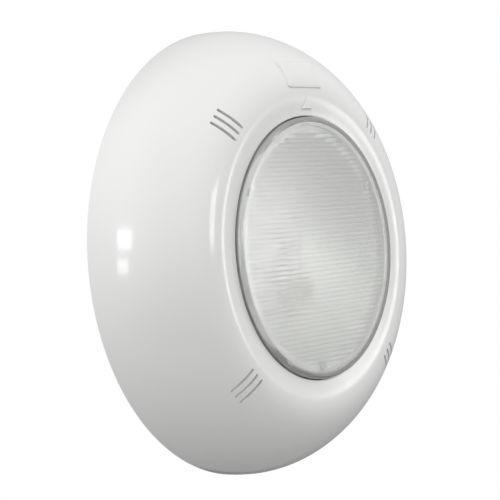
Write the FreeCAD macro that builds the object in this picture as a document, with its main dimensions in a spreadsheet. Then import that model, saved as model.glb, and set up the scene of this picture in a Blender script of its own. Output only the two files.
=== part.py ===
"""Surface-mounted underwater pool light: wall bracket, sealed lamp unit and pull-off face ring.

Working frame of every piece: x to the right, y up, z out of the wall, seen from the pool. FRONT then
turns that frame into the row frame, where the wall plane is y = 0 and the light looks along -Y.
"""
import FreeCAD, Part
import math
import os

import Sketcher

FRONT = FreeCAD.Placement(FreeCAD.Vector(0, 0, 0), FreeCAD.Rotation(FreeCAD.Vector(1, 0, 0), 90))
NODES = []

# alias: value in mm (angles in degrees)
SIZES = {
    # face ring
    "ring_radius": 145.0, "ring_wall": 3.0, "ring_rim": 0.5, "opening_radius": 84.5,
    "opening_face": 65.1, "lip_round": 0.8, "throat_back": 58.3, "throat_wall": 2.4,
    "rim_pull": 21.2, "shoulder_radius": 143.1, "shoulder_rise": 42.5,
    "brow_radius": 109.5, "brow_rise": 74.6, "crest_radius": 102.2, "crest_rise": 66.3,
    "slot_start": 102.4, "slot_end": 120.0, "slot_width": 2.0, "slot_pitch": 5.4,
    "post_circle": 111.4, "post_radius": 3.0, "post_tip": 42.0, "post_root": 59.5,
    "land_width": 35.0, "land_low": 102.0, "land_high": 119.5, "land_low_rise": 66.6,
    "land_middle_rise": 64.2, "land_high_rise": 58.6, "land_depth": 2.6,
    "mark_low": 88.5, "mark_high": 95.5, "mark_width": 11.0, "mark_rise": 66.8,
    # lens, seal and clamp
    "lens_radius": 83.4, "lens_face": 69.0, "lens_wall": 3.2, "lens_round": 2.6,
    "lens_flange_radius": 95.0, "flange_face": 48.5, "gasket_inner": 86.0, "gasket_outer": 93.5,
    "gasket_height": 3.0, "lens_flange": 3.0, "clamp_inner": 87.2, "clamp_outer": 104.0,
    "clamp_plate": 3.0, "clamp_skirt_inner": 95.6, "clamp_circle": 99.8, "clamp_count": 8.0,
    "head_radius": 3.6, "head_height": 2.4, "head_pocket": 4.0, "shank_radius": 2.0,
    "insert_radius": 3.1, "insert_length": 9.0, "boss_radius": 5.0, "boss_back": 37.5,
    # lamp body
    "flange_back": 44.5, "bore_radius": 80.0, "ledge_radius": 72.0, "ledge_face": 43.5,
    "cup_radius": 61.0, "cup_wall": 3.0, "cup_back": 22.0, "cone_start": 31.0, "cone_radius": 84.0,
    "ear_reach": 119.5, "ear_width": 17.0, "grommet_radius": 5.6, "grommet_bore": 3.05,
    "grommet_flange": 7.1, "grommet_lip": 1.5,
    # bayonet and bracket
    "lug_tip": 69.5, "lug_back": 22.6, "lug_front": 26.6, "lug_span": 24.0, "rib_width": 2.5,
    "rib_start": 74.5, "rib_back": 35.0, "rib_end": 95.6, "rib_end_back": 39.0,
    "plate_radius": 78.0, "plate_thick": 4.0, "cable_hole": 22.0, "collar_inner": 70.2,
    "collar_outer": 74.0, "collar_front": 30.0, "hook_inner": 63.0, "hook_back": 27.0,
    "hook_span": 28.0, "stop_span": 4.0, "anchor_circle": 50.0, "anchor_hole": 2.7,
    "boss_ring": 25.0, "boss_front": 12.0,
    # cable gland
    "thread_radius": 8.0, "gland_tail": 8.5, "gland_flange_back": 16.8, "gland_flange_front": 20.8,
    "gland_flats": 20.0, "gland_end": 34.0, "gland_bore": 5.0, "seal_pocket": 6.5, "seal_bore": 4.1,
    "seal_front": 16.0, "nut_back": 6.5, "nut_front": 16.4, "nut_flats": 21.0, "nut_mouth": 4.9,
    "o_ring_outer": 10.6, "locknut_flats": 22.0, "locknut_height": 5.0,
    # reflector and its fixings
    "dish_floor": 36.0, "dish_floor_radius": 18.0, "dish_rim": 61.0, "dish_rim_radius": 72.5,
    "dish_flange": 79.4, "dish_lip": 64.6, "dish_sheet": 1.0, "standoff_circle": 75.6,
    "standoff_radius": 2.9, "spigot_radius": 1.8, "spigot": 2.0, "small_head": 2.7,
    "small_head_height": 1.8, "small_shank": 1.5,
    # lamp and its holder
    "holder_width": 20.0, "holder_depth": 12.0, "holder_low": -36.0, "holder_high": -20.0,
    "lamp_out": 45.0, "pin_radius": 0.6, "pin_gap": 6.35, "pin_low": -30.0, "pin_high": -13.0,
    "bulb_radius": 5.6, "bulb_low": -7.0, "bulb_high": 14.0, "pinch_width": 10.0, "pinch_thick": 4.0,
    "pinch_low": -18.0, "coil_radius": 1.3, "coil_low": -2.5, "coil_high": 7.5,
    "strip_thick": 1.5, "strip_width": 11.0, "strip_foot": -55.0, "strip_screw_low": -51.0,
    "strip_screw_high": -43.5, "holder_screw": -28.0, "blind_depth": 2.0,
    # terminal block and leads
    "block_x": -34.0, "block_y": 17.0, "block_width": 20.0, "block_height": 16.0,
    "block_top": 35.0, "pole_pitch": 9.0, "pole_screw": 1.9, "lead_radius": 1.1, "lead_bend": 4.0,
    "lead_exit": -8.0, "lead_high": -24.0, "lead_low": -31.0, "lead_run": 28.0,
}


class Dim:
    """A size that carries both its value and the spreadsheet formula that drives it."""

    def __init__(self, value, text):
        self.value = value
        self.text = text

    def _join(self, other, sign, swap=False):
        other = other if isinstance(other, Dim) else Dim(float(other), repr(float(other)))
        a, b = (other, self) if swap else (self, other)
        value = {"+": a.value + b.value, "-": a.value - b.value, "*": a.value * b.value}.get(sign)
        if value is None:
            value = a.value / b.value
        return Dim(value, "(%s %s %s)" % (a.text, sign, b.text))

    def __add__(self, other):
        return self._join(other, "+")

    def __radd__(self, other):
        return self._join(other, "+", swap=True)

    def __sub__(self, other):
        return self._join(other, "-")

    def __rsub__(self, other):
        return self._join(other, "-", swap=True)

    def __mul__(self, other):
        return self._join(other, "*")

    def __rmul__(self, other):
        return self._join(other, "*", swap=True)

    def __truediv__(self, other):
        return self._join(other, "/")

    def __neg__(self):
        return self._join(0.0, "-", swap=True)


class Sizes:
    """Reads the sheet's aliases as Dim values: size.lens_radius."""

    def __getattr__(self, alias):
        return Dim(SIZES[alias], "sizes." + alias)


size = Sizes()


def make_sheet(doc):
    """The driving dimensions, one alias to a row."""
    sheet = doc.addObject("Spreadsheet::Sheet", "sizes")
    for row, (alias, value) in enumerate(SIZES.items(), start=1):
        sheet.set("A%d" % row, alias)
        sheet.set("B%d" % row, str(value))
        sheet.setAlias("B%d" % row, alias)
    doc.recompute()
    return sheet


def number(dim):
    return dim.value if isinstance(dim, Dim) else float(dim)


def bind(obj, prop, dim):
    """Drives one property of obj from the sheet."""
    if isinstance(dim, Dim):
        obj.setExpression(prop, dim.text)


def node(obj, label):
    """Registers obj as a sub-part, to be written under its own name."""
    obj.Label = label
    NODES.append(obj)
    return obj


# ---------------------------------------------------------------- PartDesign helpers

def new_body(doc, label):
    body = doc.addObject("PartDesign::Body", label)
    body.Placement = FRONT
    return body


def origin_plane(body, role):
    return [f for f in body.Origin.OriginFeatures if f.Role == role][0]


def new_sketch(body, name, role, offset=None):
    """A sketch on one of the body's own origin planes, moved along its normal by offset."""
    sketch = body.newObject("Sketcher::SketchObject", name)
    sketch.AttachmentSupport = [(origin_plane(body, role), "")]
    sketch.MapMode = "FlatFace"
    if offset is not None:
        sketch.AttachmentOffset = FreeCAD.Placement(
            FreeCAD.Vector(0, 0, number(offset)), FreeCAD.Rotation())
        bind(sketch, "AttachmentOffset.Base.z", offset)
    return sketch


def pin_vertex(sketch, geo, point, name, across, up):
    """Fixes one end of a sketch edge at (across, up), each driven from the sheet."""
    for axis, dim, letter in (("DistanceX", across, "x"), ("DistanceY", up, "y")):
        if number(dim) == 0.0:
            line = -2 if axis == "DistanceX" else -1
            sketch.addConstraint(Sketcher.Constraint("PointOnObject", geo, point, line))
            continue
        index = sketch.addConstraint(Sketcher.Constraint(axis, -1, 1, geo, point, number(dim)))
        sketch.renameConstraint(index, name + letter)
        bind(sketch, "Constraints." + name + letter, dim)


def polygon(sketch, points, tag="p"):
    """A closed outline through points, every corner driven from the sheet."""
    corners = [FreeCAD.Vector(number(a), number(b), 0) for a, b in points]
    first = sketch.GeometryCount
    for i, corner in enumerate(corners):
        sketch.addGeometry(Part.LineSegment(corner, corners[(i + 1) % len(corners)]), False)
    for i in range(len(corners)):
        following = first + (i + 1) % len(corners)
        sketch.addConstraint(Sketcher.Constraint("Coincident", first + i, 2, following, 1))
        pin_vertex(sketch, first + i, 1, "%s%d" % (tag, i), *points[i])


def circle(sketch, radius, across=0.0, up=0.0, tag="c"):
    """A driven circle at (across, up)."""
    centre = FreeCAD.Vector(number(across), number(up), 0)
    geo = sketch.addGeometry(Part.Circle(centre, FreeCAD.Vector(0, 0, 1), number(radius)), False)
    index = sketch.addConstraint(Sketcher.Constraint("Radius", geo, number(radius)))
    sketch.renameConstraint(index, tag + "r")
    bind(sketch, "Constraints." + tag + "r", radius)
    pin_vertex(sketch, geo, 3, tag, across, up)


def revolve(body, points):
    """Turns a half section, given as (radius, height out of the wall), about the light's axis."""
    sketch = new_sketch(body, "Section", "XZ_Plane")
    polygon(sketch, points)
    turn = body.newObject("PartDesign::Revolution", "Turned")
    turn.Profile = sketch
    turn.ReferenceAxis = (sketch, ["V_Axis"])
    turn.Angle = 360.0
    return turn


def pad(body, sketch, name, length):
    feature = body.newObject("PartDesign::Pad", name)
    feature.Profile = sketch
    feature.Length = number(length)
    bind(feature, "Length", length)
    return feature


def cut_through(body, sketch, name):
    """Cuts the sketch right through the body, both ways from its plane."""
    feature = body.newObject("PartDesign::Pocket", name)
    feature.Profile = sketch
    feature.Midplane = True
    feature.Type = 1
    return feature


def blind_cut(body, sketch, name, depth):
    """Sinks the sketch into the body behind it."""
    feature = body.newObject("PartDesign::Pocket", name)
    feature.Profile = sketch
    feature.Length = number(depth)
    bind(feature, "Length", depth)
    return feature


def repeat(doc, body, feature, name, count):
    """Repeats a feature evenly round the light's axis."""
    doc.recompute()
    pattern = body.newObject("PartDesign::PolarPattern", name)
    pattern.Originals = [feature]
    pattern.Axis = (origin_plane(body, "Z_Axis"), [""])
    pattern.Angle = 360.0
    pattern.Occurrences = int(count)
    body.Tip = pattern
    return pattern


def round_edges(doc, body, name, radius, rings):
    """Rounds the circular edges that lie at the given (radius, height) pairs."""
    doc.recompute()
    shape = body.Tip.Shape
    names = []
    for index, edge in enumerate(shape.Edges, start=1):
        if not isinstance(edge.Curve, Part.Circle):
            continue
        centre = edge.Curve.Center
        for ring_radius, height in rings:
            near = abs(edge.Curve.Radius - number(ring_radius)) < 0.01
            if near and abs(centre.z - number(height)) < 0.01 and math.hypot(centre.x, centre.y) < 0.01:
                names.append("Edge%d" % index)
    base = body.Tip
    fillet = body.newObject("PartDesign::Fillet", name)
    fillet.Base = (base, names)
    fillet.Radius = number(radius)
    bind(fillet, "Radius", radius)
    return fillet


def turned_node(doc, label, points):
    """A sub-part that is one turned section."""
    body = new_body(doc, label)
    revolve(body, points)
    return node(body, label)


# ---------------------------------------------------------------- Part helpers

def place(obj, across=0.0, up=0.0, out=0.0, turn=None):
    """Puts a primitive's base at (across, up, out) in the working frame."""
    rotation = FRONT.Rotation.multiply(turn) if turn else FRONT.Rotation
    base = FreeCAD.Vector(number(across), -number(out), number(up))
    obj.Placement = FreeCAD.Placement(base, rotation)
    bind(obj, "Placement.Base.x", across)
    bind(obj, "Placement.Base.z", up)
    if isinstance(out, Dim):
        bind(obj, "Placement.Base.y", -out)
    return obj


def rod(doc, name, radius, length, across=0.0, up=0.0, out=0.0, turn=None):
    obj = doc.addObject("Part::Cylinder", name)
    obj.Radius = number(radius)
    obj.Height = number(length)
    bind(obj, "Radius", radius)
    bind(obj, "Height", length)
    return place(obj, across, up, out, turn)


def block(doc, name, width, height, depth, across, up, out):
    """A box whose low corner is at (across, up, out)."""
    obj = doc.addObject("Part::Box", name)
    for prop, dim in (("Length", width), ("Width", height), ("Height", depth)):
        setattr(obj, prop, number(dim))
        bind(obj, prop, dim)
    return place(obj, across, up, out)


def hexagon(doc, name, flats, length, out):
    """A hexagonal bar about the light's axis, by its size across flats."""
    obj = doc.addObject("Part::Prism", name)
    obj.Polygon = 6
    corner = flats / math.sqrt(3.0)
    obj.Circumradius = number(corner)
    obj.Height = number(length)
    bind(obj, "Circumradius", corner)
    bind(obj, "Height", length)
    return place(obj, 0.0, 0.0, out)


def cut(doc, name, base, tool):
    obj = doc.addObject("Part::Cut", name)
    obj.Base = base
    obj.Tool = tool
    return obj


def fuse(doc, name, shapes):
    obj = doc.addObject("Part::MultiFuse", name)
    obj.Shapes = shapes
    return obj


def group(doc, label, shapes):
    """Identical separate solids kept as one sub-part."""
    obj = doc.addObject("Part::Compound", label)
    obj.Links = shapes
    return node(obj, label)


def round_positions(radius, count, start=0.0):
    """Driven (across, up) places evenly round the light's axis."""
    places = []
    for i in range(int(count)):
        angle = math.radians(start + 360.0 * i / count)
        places.append((radius * math.cos(angle), radius * math.sin(angle)))
    return places


def screw(doc, name, head_radius, head_height, shank_radius, length, across, up, out):
    """A pan-head screw whose head rests at height out and whose shank runs back towards the wall."""
    head = rod(doc, name + "_head", head_radius, head_height, across, up, out)
    shank = rod(doc, name + "_shank", shank_radius, length, across, up, out - length)
    socket = rod(doc, name + "_socket", head_radius * 0.42, head_height * 0.6, across, up,
                 out + head_height * 0.4)
    return cut(doc, name, fuse(doc, name + "_solid", [head, shank]), socket)


# ---------------------------------------------------------------- face ring

def shifted(poles, wall):
    """Control points moved inwards by the wall's thickness, square to their neighbours."""
    inner = []
    for i, (across, up) in enumerate(poles):
        before = poles[max(i - 1, 0)]
        after = poles[min(i + 1, len(poles) - 1)]
        run = (after[0] - before[0], after[1] - before[1])
        length = math.hypot(*run)
        inner.append((across - wall * run[1] / length, up + wall * run[0] / length))
    inner[0] = (poles[0][0] - wall, poles[0][1])
    return inner


def ring_section(body):
    """Half section of the face ring: a domed shell that dips to a short throat at the opening."""
    outer = [(size.ring_radius.value, size.ring_rim.value),
             (size.ring_radius.value, size.rim_pull.value),
             (size.shoulder_radius.value, size.shoulder_rise.value),
             (size.brow_radius.value, size.brow_rise.value),
             (size.crest_radius.value, size.crest_rise.value),
             (size.opening_radius.value + size.lip_round.value, size.opening_face.value)]
    inner = shifted(outer, size.ring_wall.value)
    throat = size.opening_radius.value + size.throat_wall.value
    inner[-1] = (throat, size.opening_face.value - size.ring_wall.value)
    sketch = new_sketch(body, "Section", "XZ_Plane")
    for poles in (outer, inner):
        curve = Part.BezierCurve()
        curve.setPoles([FreeCAD.Vector(a, b, 0) for a, b in poles])
        sketch.addGeometry(curve.toBSpline(), False)
    lip = [outer[-1], (size.opening_radius.value, outer[-1][1] - size.lip_round.value),
           (size.opening_radius.value, size.throat_back.value), (throat, size.throat_back.value), inner[-1]]
    for start, end in list(zip(lip, lip[1:])) + [(inner[0], outer[0])]:
        line = Part.LineSegment(FreeCAD.Vector(*start, 0), FreeCAD.Vector(*end, 0))
        sketch.addGeometry(line, False)
    turn = body.newObject("PartDesign::Revolution", "Shell")
    turn.Profile = sketch
    turn.ReferenceAxis = (sketch, ["V_Axis"])
    turn.Angle = 360.0


def slot_group(body):
    """Three straight parallel water slots, square to the 45 degree line."""
    sketch = new_sketch(body, "Slots", "XY_Plane")
    half = size.slot_width.value / 2
    along = FreeCAD.Vector(math.cos(math.pi / 4), math.sin(math.pi / 4), 0)
    side = FreeCAD.Vector(-along.y, along.x, 0)
    for row in (-1, 0, 1):
        middle = side * (row * size.slot_pitch.value)
        start = along * (size.slot_start.value + half) + middle
        end = along * (size.slot_end.value - half) + middle
        left = Part.LineSegment(start + side * half, end + side * half)
        right = Part.LineSegment(end - side * half, start - side * half)
        far = Part.Arc(end + side * half, end + along * half, end - side * half)
        near = Part.Arc(start - side * half, start - along * half, start + side * half)
        for edge in (left, far, right, near):
            sketch.addGeometry(edge, False)
    return cut_through(body, sketch, "SlotGroup")


def land_outline(sketch):
    """Side view of the flat land: an arched top a little proud of the shell, and a sunk foot."""
    low, high = size.land_low.value, size.land_high.value
    depth = size.land_depth.value
    corners = [FreeCAD.Vector(low, size.land_low_rise.value, 0),
               FreeCAD.Vector(high, size.land_high_rise.value, 0),
               FreeCAD.Vector(high, size.land_high_rise.value - depth, 0),
               FreeCAD.Vector(low, size.land_low_rise.value - depth, 0)]
    crown = FreeCAD.Vector((low + high) / 2, size.land_middle_rise.value, 0)
    sketch.addGeometry(Part.Arc(corners[0], crown, corners[1]), False)
    for start, end in ((1, 2), (2, 3), (3, 0)):
        sketch.addGeometry(Part.LineSegment(corners[start], corners[end]), False)


def face_ring(doc):
    """Moulded face ring: shell, slots, four posts, the flat land and the way-up mark."""
    body = new_body(doc, "bezel")
    ring_section(body)
    doc.recompute()
    repeat(doc, body, slot_group(body), "SlotGroups", 4)
    doc.recompute()
    posts = new_sketch(body, "Post", "XY_Plane", size.post_tip)
    circle(posts, size.post_radius, size.post_circle, 0.0)
    post = pad(body, posts, "PostPad", size.post_root - size.post_tip)
    repeat(doc, body, post, "Posts", 4)
    doc.recompute()
    land = new_sketch(body, "Land", "YZ_Plane", -size.land_width / 2)
    land_outline(land)
    pad(body, land, "LandPad", size.land_width)
    base = size.opening_face - 0.6
    mark = new_sketch(body, "Mark", "XY_Plane", base)
    half = size.mark_width / 2
    polygon(mark, [(-half, size.mark_low), (half, size.mark_low), (0.0, size.mark_high)])
    pad(body, mark, "MarkPad", size.mark_rise - base)
    return node(body, "bezel")


def grommets(doc):
    """Flanged rubber grommets in the lamp body's ears, which grip the face ring's posts."""
    pieces = []
    for i, (across, up) in enumerate(round_positions(size.post_circle, 4)):
        name = "grommet%d" % i
        sleeve = rod(doc, name + "_sleeve", size.grommet_radius,
                     size.flange_face - size.flange_back + size.grommet_lip, across, up, size.flange_back)
        flange = rod(doc, name + "_flange", size.grommet_flange, size.grommet_lip, across, up,
                     size.flange_face)
        bore = rod(doc, name + "_bore", size.grommet_bore, 12.0, across, up, size.flange_back - 2.0)
        pieces.append(cut(doc, name, fuse(doc, name + "_solid", [sleeve, flange]), bore))
    return group(doc, "bezel_grommets", pieces)


# ---------------------------------------------------------------- lens, seal and clamp

def lens_stack():
    """Heights of the sealed stack, from the body flange outwards."""
    gasket_face = size.flange_face + size.gasket_height
    return gasket_face, gasket_face + size.lens_flange


def lens(doc):
    gasket_face, clamp_seat = lens_stack()
    body = new_body(doc, "lens")
    inner = size.lens_radius - size.lens_wall
    revolve(body, [(0.0, size.lens_face - size.lens_wall), (0.0, size.lens_face),
                   (size.lens_radius, size.lens_face), (size.lens_radius, clamp_seat),
                   (size.lens_flange_radius, clamp_seat), (size.lens_flange_radius, gasket_face),
                   (inner, gasket_face), (inner, size.lens_face - size.lens_wall)])
    round_edges(doc, body, "Brow", size.lens_round, [(size.lens_radius, size.lens_face)])
    return node(body, "lens")


def clamp_ring(doc):
    """Ring that presses the lens flange on its gasket, with counterbored screw holes."""
    gasket_face, clamp_seat = lens_stack()
    face = clamp_seat + size.clamp_plate
    body = new_body(doc, "clamp_ring")
    revolve(body, [(size.clamp_inner, clamp_seat), (size.clamp_inner, face), (size.clamp_outer, face),
                   (size.clamp_outer, size.flange_face), (size.clamp_skirt_inner, size.flange_face),
                   (size.clamp_skirt_inner, clamp_seat)])
    hole = new_sketch(body, "Hole", "XY_Plane")
    circle(hole, size.shank_radius + 0.2, size.clamp_circle, 0.0)
    repeat(doc, body, cut_through(body, hole, "HoleCut"), "Holes", size.clamp_count.value)
    doc.recompute()
    seat = new_sketch(body, "Seat", "XY_Plane", face)
    circle(seat, size.head_pocket, size.clamp_circle, 0.0)
    repeat(doc, body, blind_cut(body, seat, "SeatCut", size.head_height), "Seats",
           size.clamp_count.value)
    return node(body, "clamp_ring")


def clamp_fasteners(doc):
    """Screws round the clamp ring and the brass inserts they run into."""
    seat = lens_stack()[1] + size.clamp_plate - size.head_height
    length = seat - size.flange_face + size.insert_length - 1.0
    screws, inserts = [], []
    for i, (across, up) in enumerate(round_positions(size.clamp_circle, size.clamp_count.value)):
        screws.append(screw(doc, "clamp_screw%d" % i, size.head_radius, size.head_height,
                            size.shank_radius, length, across, up, seat))
        back = size.flange_face - size.insert_length
        sleeve = rod(doc, "insert%d_sleeve" % i, size.insert_radius, size.insert_length, across, up, back)
        bore = rod(doc, "insert%d_bore" % i, size.shank_radius, size.insert_length, across, up, back)
        inserts.append(cut(doc, "insert%d" % i, sleeve, bore))
    group(doc, "clamp_screws", screws)
    group(doc, "clamp_inserts", inserts)


# ---------------------------------------------------------------- lamp body

def sector(sketch, inner, outer, middle, span):
    """An annular sector centred on the angle middle, in degrees."""
    first, last = math.radians(middle - span / 2), math.radians(middle + span / 2)
    mid = math.radians(middle)

    def at(radius, angle):
        return FreeCAD.Vector(radius * math.cos(angle), radius * math.sin(angle), 0)

    sketch.addGeometry(Part.Arc(at(outer, first), at(outer, mid), at(outer, last)), False)
    sketch.addGeometry(Part.LineSegment(at(outer, last), at(inner, last)), False)
    sketch.addGeometry(Part.Arc(at(inner, last), at(inner, mid), at(inner, first)), False)
    sketch.addGeometry(Part.LineSegment(at(inner, first), at(outer, first)), False)


def lamp_body(doc):
    """Sealed bowl with its flange, ears for the face ring, screw bosses and bayonet lugs."""
    body = new_body(doc, "lamp_body")
    inner = size.cup_radius - size.cup_wall
    revolve(body, [(size.thread_radius + 0.1, size.cup_back), (size.cup_radius, size.cup_back),
                   (size.cup_radius, size.cone_start), (size.cone_radius, size.flange_back),
                   (size.clamp_outer, size.flange_back), (size.clamp_outer, size.flange_face),
                   (size.bore_radius, size.flange_face), (size.bore_radius, size.ledge_face),
                   (size.ledge_radius, size.ledge_face), (inner, size.cone_start + size.cup_wall),
                   (inner, size.cup_back + size.cup_wall),
                   (size.thread_radius + 0.1, size.cup_back + size.cup_wall)])
    ear = new_sketch(body, "Ear", "XY_Plane", size.flange_back)
    polygon(ear, [(size.clamp_outer - 6.0, -size.ear_width / 2), (size.ear_reach, -size.ear_width / 2),
                  (size.ear_reach, size.ear_width / 2), (size.clamp_outer - 6.0, size.ear_width / 2)])
    repeat(doc, body, pad(body, ear, "EarPad", size.flange_face - size.flange_back), "Ears", 4)
    doc.recompute()
    boss = new_sketch(body, "Boss", "XY_Plane", size.boss_back)
    circle(boss, size.boss_radius, size.clamp_circle, 0.0)
    height = size.flange_back - size.boss_back + 1.0
    repeat(doc, body, pad(body, boss, "BossPad", height), "Bosses", size.clamp_count.value)
    doc.recompute()
    for name, radius, circle_radius, count, floor in (
            ("Grommet", size.grommet_radius, size.post_circle, 4, size.flange_back),
            ("Insert", size.insert_radius, size.clamp_circle, size.clamp_count.value,
             size.flange_face - size.insert_length)):
        sketch = new_sketch(body, name + "Hole", "XY_Plane", size.flange_face)
        circle(sketch, radius, circle_radius, 0.0)
        pocket = blind_cut(body, sketch, name + "Cut", size.flange_face - floor)
        repeat(doc, body, pocket, name + "Holes", count)
        doc.recompute()
    rib = new_sketch(body, "Rib", "XZ_Plane", -size.rib_width / 2)
    polygon(rib, [(size.rib_start, size.rib_back), (size.rib_end, size.rib_end_back),
                  (size.rib_end, size.flange_back + 0.5), (size.cone_radius, size.flange_back + 0.5),
                  (size.rib_start, size.rib_back + 4.4)])
    repeat(doc, body, pad(body, rib, "RibPad", size.rib_width), "Ribs", size.clamp_count.value)
    doc.recompute()
    blind = new_sketch(body, "Blind", "XY_Plane", size.cup_back + size.cup_wall)
    circle(blind, size.small_shank, 0.0, size.strip_screw_low, "a")
    circle(blind, size.small_shank, 0.0, size.strip_screw_high, "b")
    circle(blind, size.small_shank, size.block_x, size.block_y, "c")
    blind_cut(body, blind, "BlindCut", size.blind_depth)
    spigots = new_sketch(body, "Spigots", "XY_Plane", size.ledge_face)
    for i, (across, up) in enumerate(round_positions(size.standoff_circle, 3, 30.0)):
        circle(spigots, size.spigot_radius, across, up, "s%d" % i)
    blind_cut(body, spigots, "SpigotCut", size.spigot)
    doc.recompute()
    lug = new_sketch(body, "Lug", "XY_Plane", size.lug_back)
    sector(lug, size.cup_radius.value - 1.0, size.lug_tip.value, 90.0, size.lug_span.value)
    repeat(doc, body, pad(body, lug, "LugPad", size.lug_front - size.lug_back), "Lugs", 3)
    return node(body, "lamp_body")


# ---------------------------------------------------------------- wall bracket

def wall_bracket(doc):
    """Plate with anchor holes, a cable hole and the bayonet collar with hooks and stops."""
    body = new_body(doc, "wall_bracket")
    revolve(body, [(size.cable_hole, 0.0), (size.plate_radius, 0.0), (size.plate_radius, size.plate_thick),
                   (size.collar_outer, size.plate_thick), (size.collar_outer, size.collar_front),
                   (size.collar_inner, size.collar_front), (size.collar_inner, size.plate_thick),
                   (size.boss_ring, size.plate_thick), (size.boss_ring, size.boss_front),
                   (size.cable_hole, size.boss_front)])
    rib = new_sketch(body, "Rib", "XZ_Plane", -size.rib_width / 2)
    polygon(rib, [(size.boss_ring - 1.0, size.plate_thick - 1.0),
                  (size.collar_inner + 1.0, size.plate_thick - 1.0),
                  (size.collar_inner + 1.0, size.boss_front), (size.boss_ring - 1.0, size.boss_front)])
    repeat(doc, body, pad(body, rib, "RibPad", size.rib_width), "Ribs", 4)
    doc.recompute()
    hook = new_sketch(body, "Hook", "XY_Plane", size.hook_back)
    sector(hook, size.hook_inner.value, size.collar_inner.value + 1.0, 90.0, size.hook_span.value)
    repeat(doc, body, pad(body, hook, "HookPad", size.collar_front - size.hook_back), "Hooks", 3)
    doc.recompute()
    stop = new_sketch(body, "Stop", "XY_Plane", size.plate_thick - 1.0)
    locked = 90.0 - size.lug_span.value / 2 - size.stop_span.value / 2 - 0.5
    sector(stop, size.hook_inner.value, size.collar_inner.value + 1.0, locked, size.stop_span.value)
    repeat(doc, body, pad(body, stop, "StopPad", size.collar_front - size.plate_thick + 1.0), "Stops", 3)
    doc.recompute()
    hole = new_sketch(body, "Anchor", "XY_Plane")
    spread = size.anchor_circle * math.sqrt(0.5)
    circle(hole, size.anchor_hole, spread, spread)
    repeat(doc, body, cut_through(body, hole, "AnchorCut"), "Anchors", 4)
    return node(body, "wall_bracket")


# ---------------------------------------------------------------- cable gland

def gland(doc):
    """Cable gland on the light's axis: body, O-ring, locknut, rubber seal and dome nut."""
    radius = size.thread_radius
    shank = rod(doc, "gland_shank", radius, size.gland_end - size.gland_tail, 0.0, 0.0, size.gland_tail)
    collar = hexagon(doc, "gland_collar", size.gland_flats,
                     size.gland_flange_front - size.gland_flange_back, size.gland_flange_back)
    bore = rod(doc, "gland_bore_tool", size.gland_bore, size.gland_end, 0.0, 0.0, 0.0)
    pocket = rod(doc, "gland_pocket_tool", size.seal_pocket, size.seal_front - size.gland_tail, 0.0, 0.0,
                 size.gland_tail)
    solid = fuse(doc, "gland_solid", [shank, collar])
    node(cut(doc, "gland_body", solid, fuse(doc, "gland_hollow", [bore, pocket])), "gland_body")

    turned_node(doc, "gland_o_ring", [(radius + 0.1, size.gland_flange_front),
                                      (size.o_ring_outer, size.gland_flange_front),
                                      (size.o_ring_outer, size.cup_back), (radius + 0.1, size.cup_back)])
    wall_front = size.cup_back + size.cup_wall
    ring = hexagon(doc, "locknut_hex", size.locknut_flats, size.locknut_height, wall_front)
    hole = rod(doc, "locknut_bore", radius, size.locknut_height, 0.0, 0.0, wall_front)
    node(cut(doc, "gland_locknut", ring, hole), "gland_locknut")

    turned_node(doc, "gland_seal", [(size.seal_bore, size.gland_tail), (size.seal_pocket, size.gland_tail),
                                    (size.seal_pocket, size.seal_front), (size.seal_bore, size.seal_front)])
    cap = hexagon(doc, "nut_hex", size.nut_flats, size.nut_front - size.nut_back, size.nut_back)
    dome = doc.addObject("Part::Cone", "nut_dome")
    dome.Radius1 = number(size.nut_flats / 2) * 0.92
    dome.Radius2 = number(size.nut_flats / 2) * 2.2
    dome.Height = number(size.nut_front - size.nut_back)
    bind(dome, "Radius1", size.nut_flats / 2 * 0.92)
    bind(dome, "Radius2", size.nut_flats / 2 * 2.2)
    bind(dome, "Height", size.nut_front - size.nut_back)
    place(dome, 0.0, 0.0, size.nut_back)
    shaped = doc.addObject("Part::MultiCommon", "nut_shaped")
    shaped.Shapes = [cap, dome]
    mouth = rod(doc, "nut_mouth_tool", size.nut_mouth, size.gland_tail, 0.0, 0.0, 0.0)
    thread = rod(doc, "nut_thread_tool", radius, size.nut_front, 0.0, 0.0, size.gland_tail)
    node(cut(doc, "gland_nut", shaped, fuse(doc, "nut_hollow", [mouth, thread])), "gland_nut")


# ---------------------------------------------------------------- reflector and lamp

def dish_curve(radius):
    """Height of the reflector's face: a flat floor, then a bowl that steepens to the rim."""
    span = size.dish_rim_radius.value - size.dish_floor_radius.value
    share = max(0.0, (radius - size.dish_floor_radius.value) / span)
    return size.dish_floor.value + (size.dish_rim.value - size.dish_floor.value) * share ** 1.6


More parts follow.
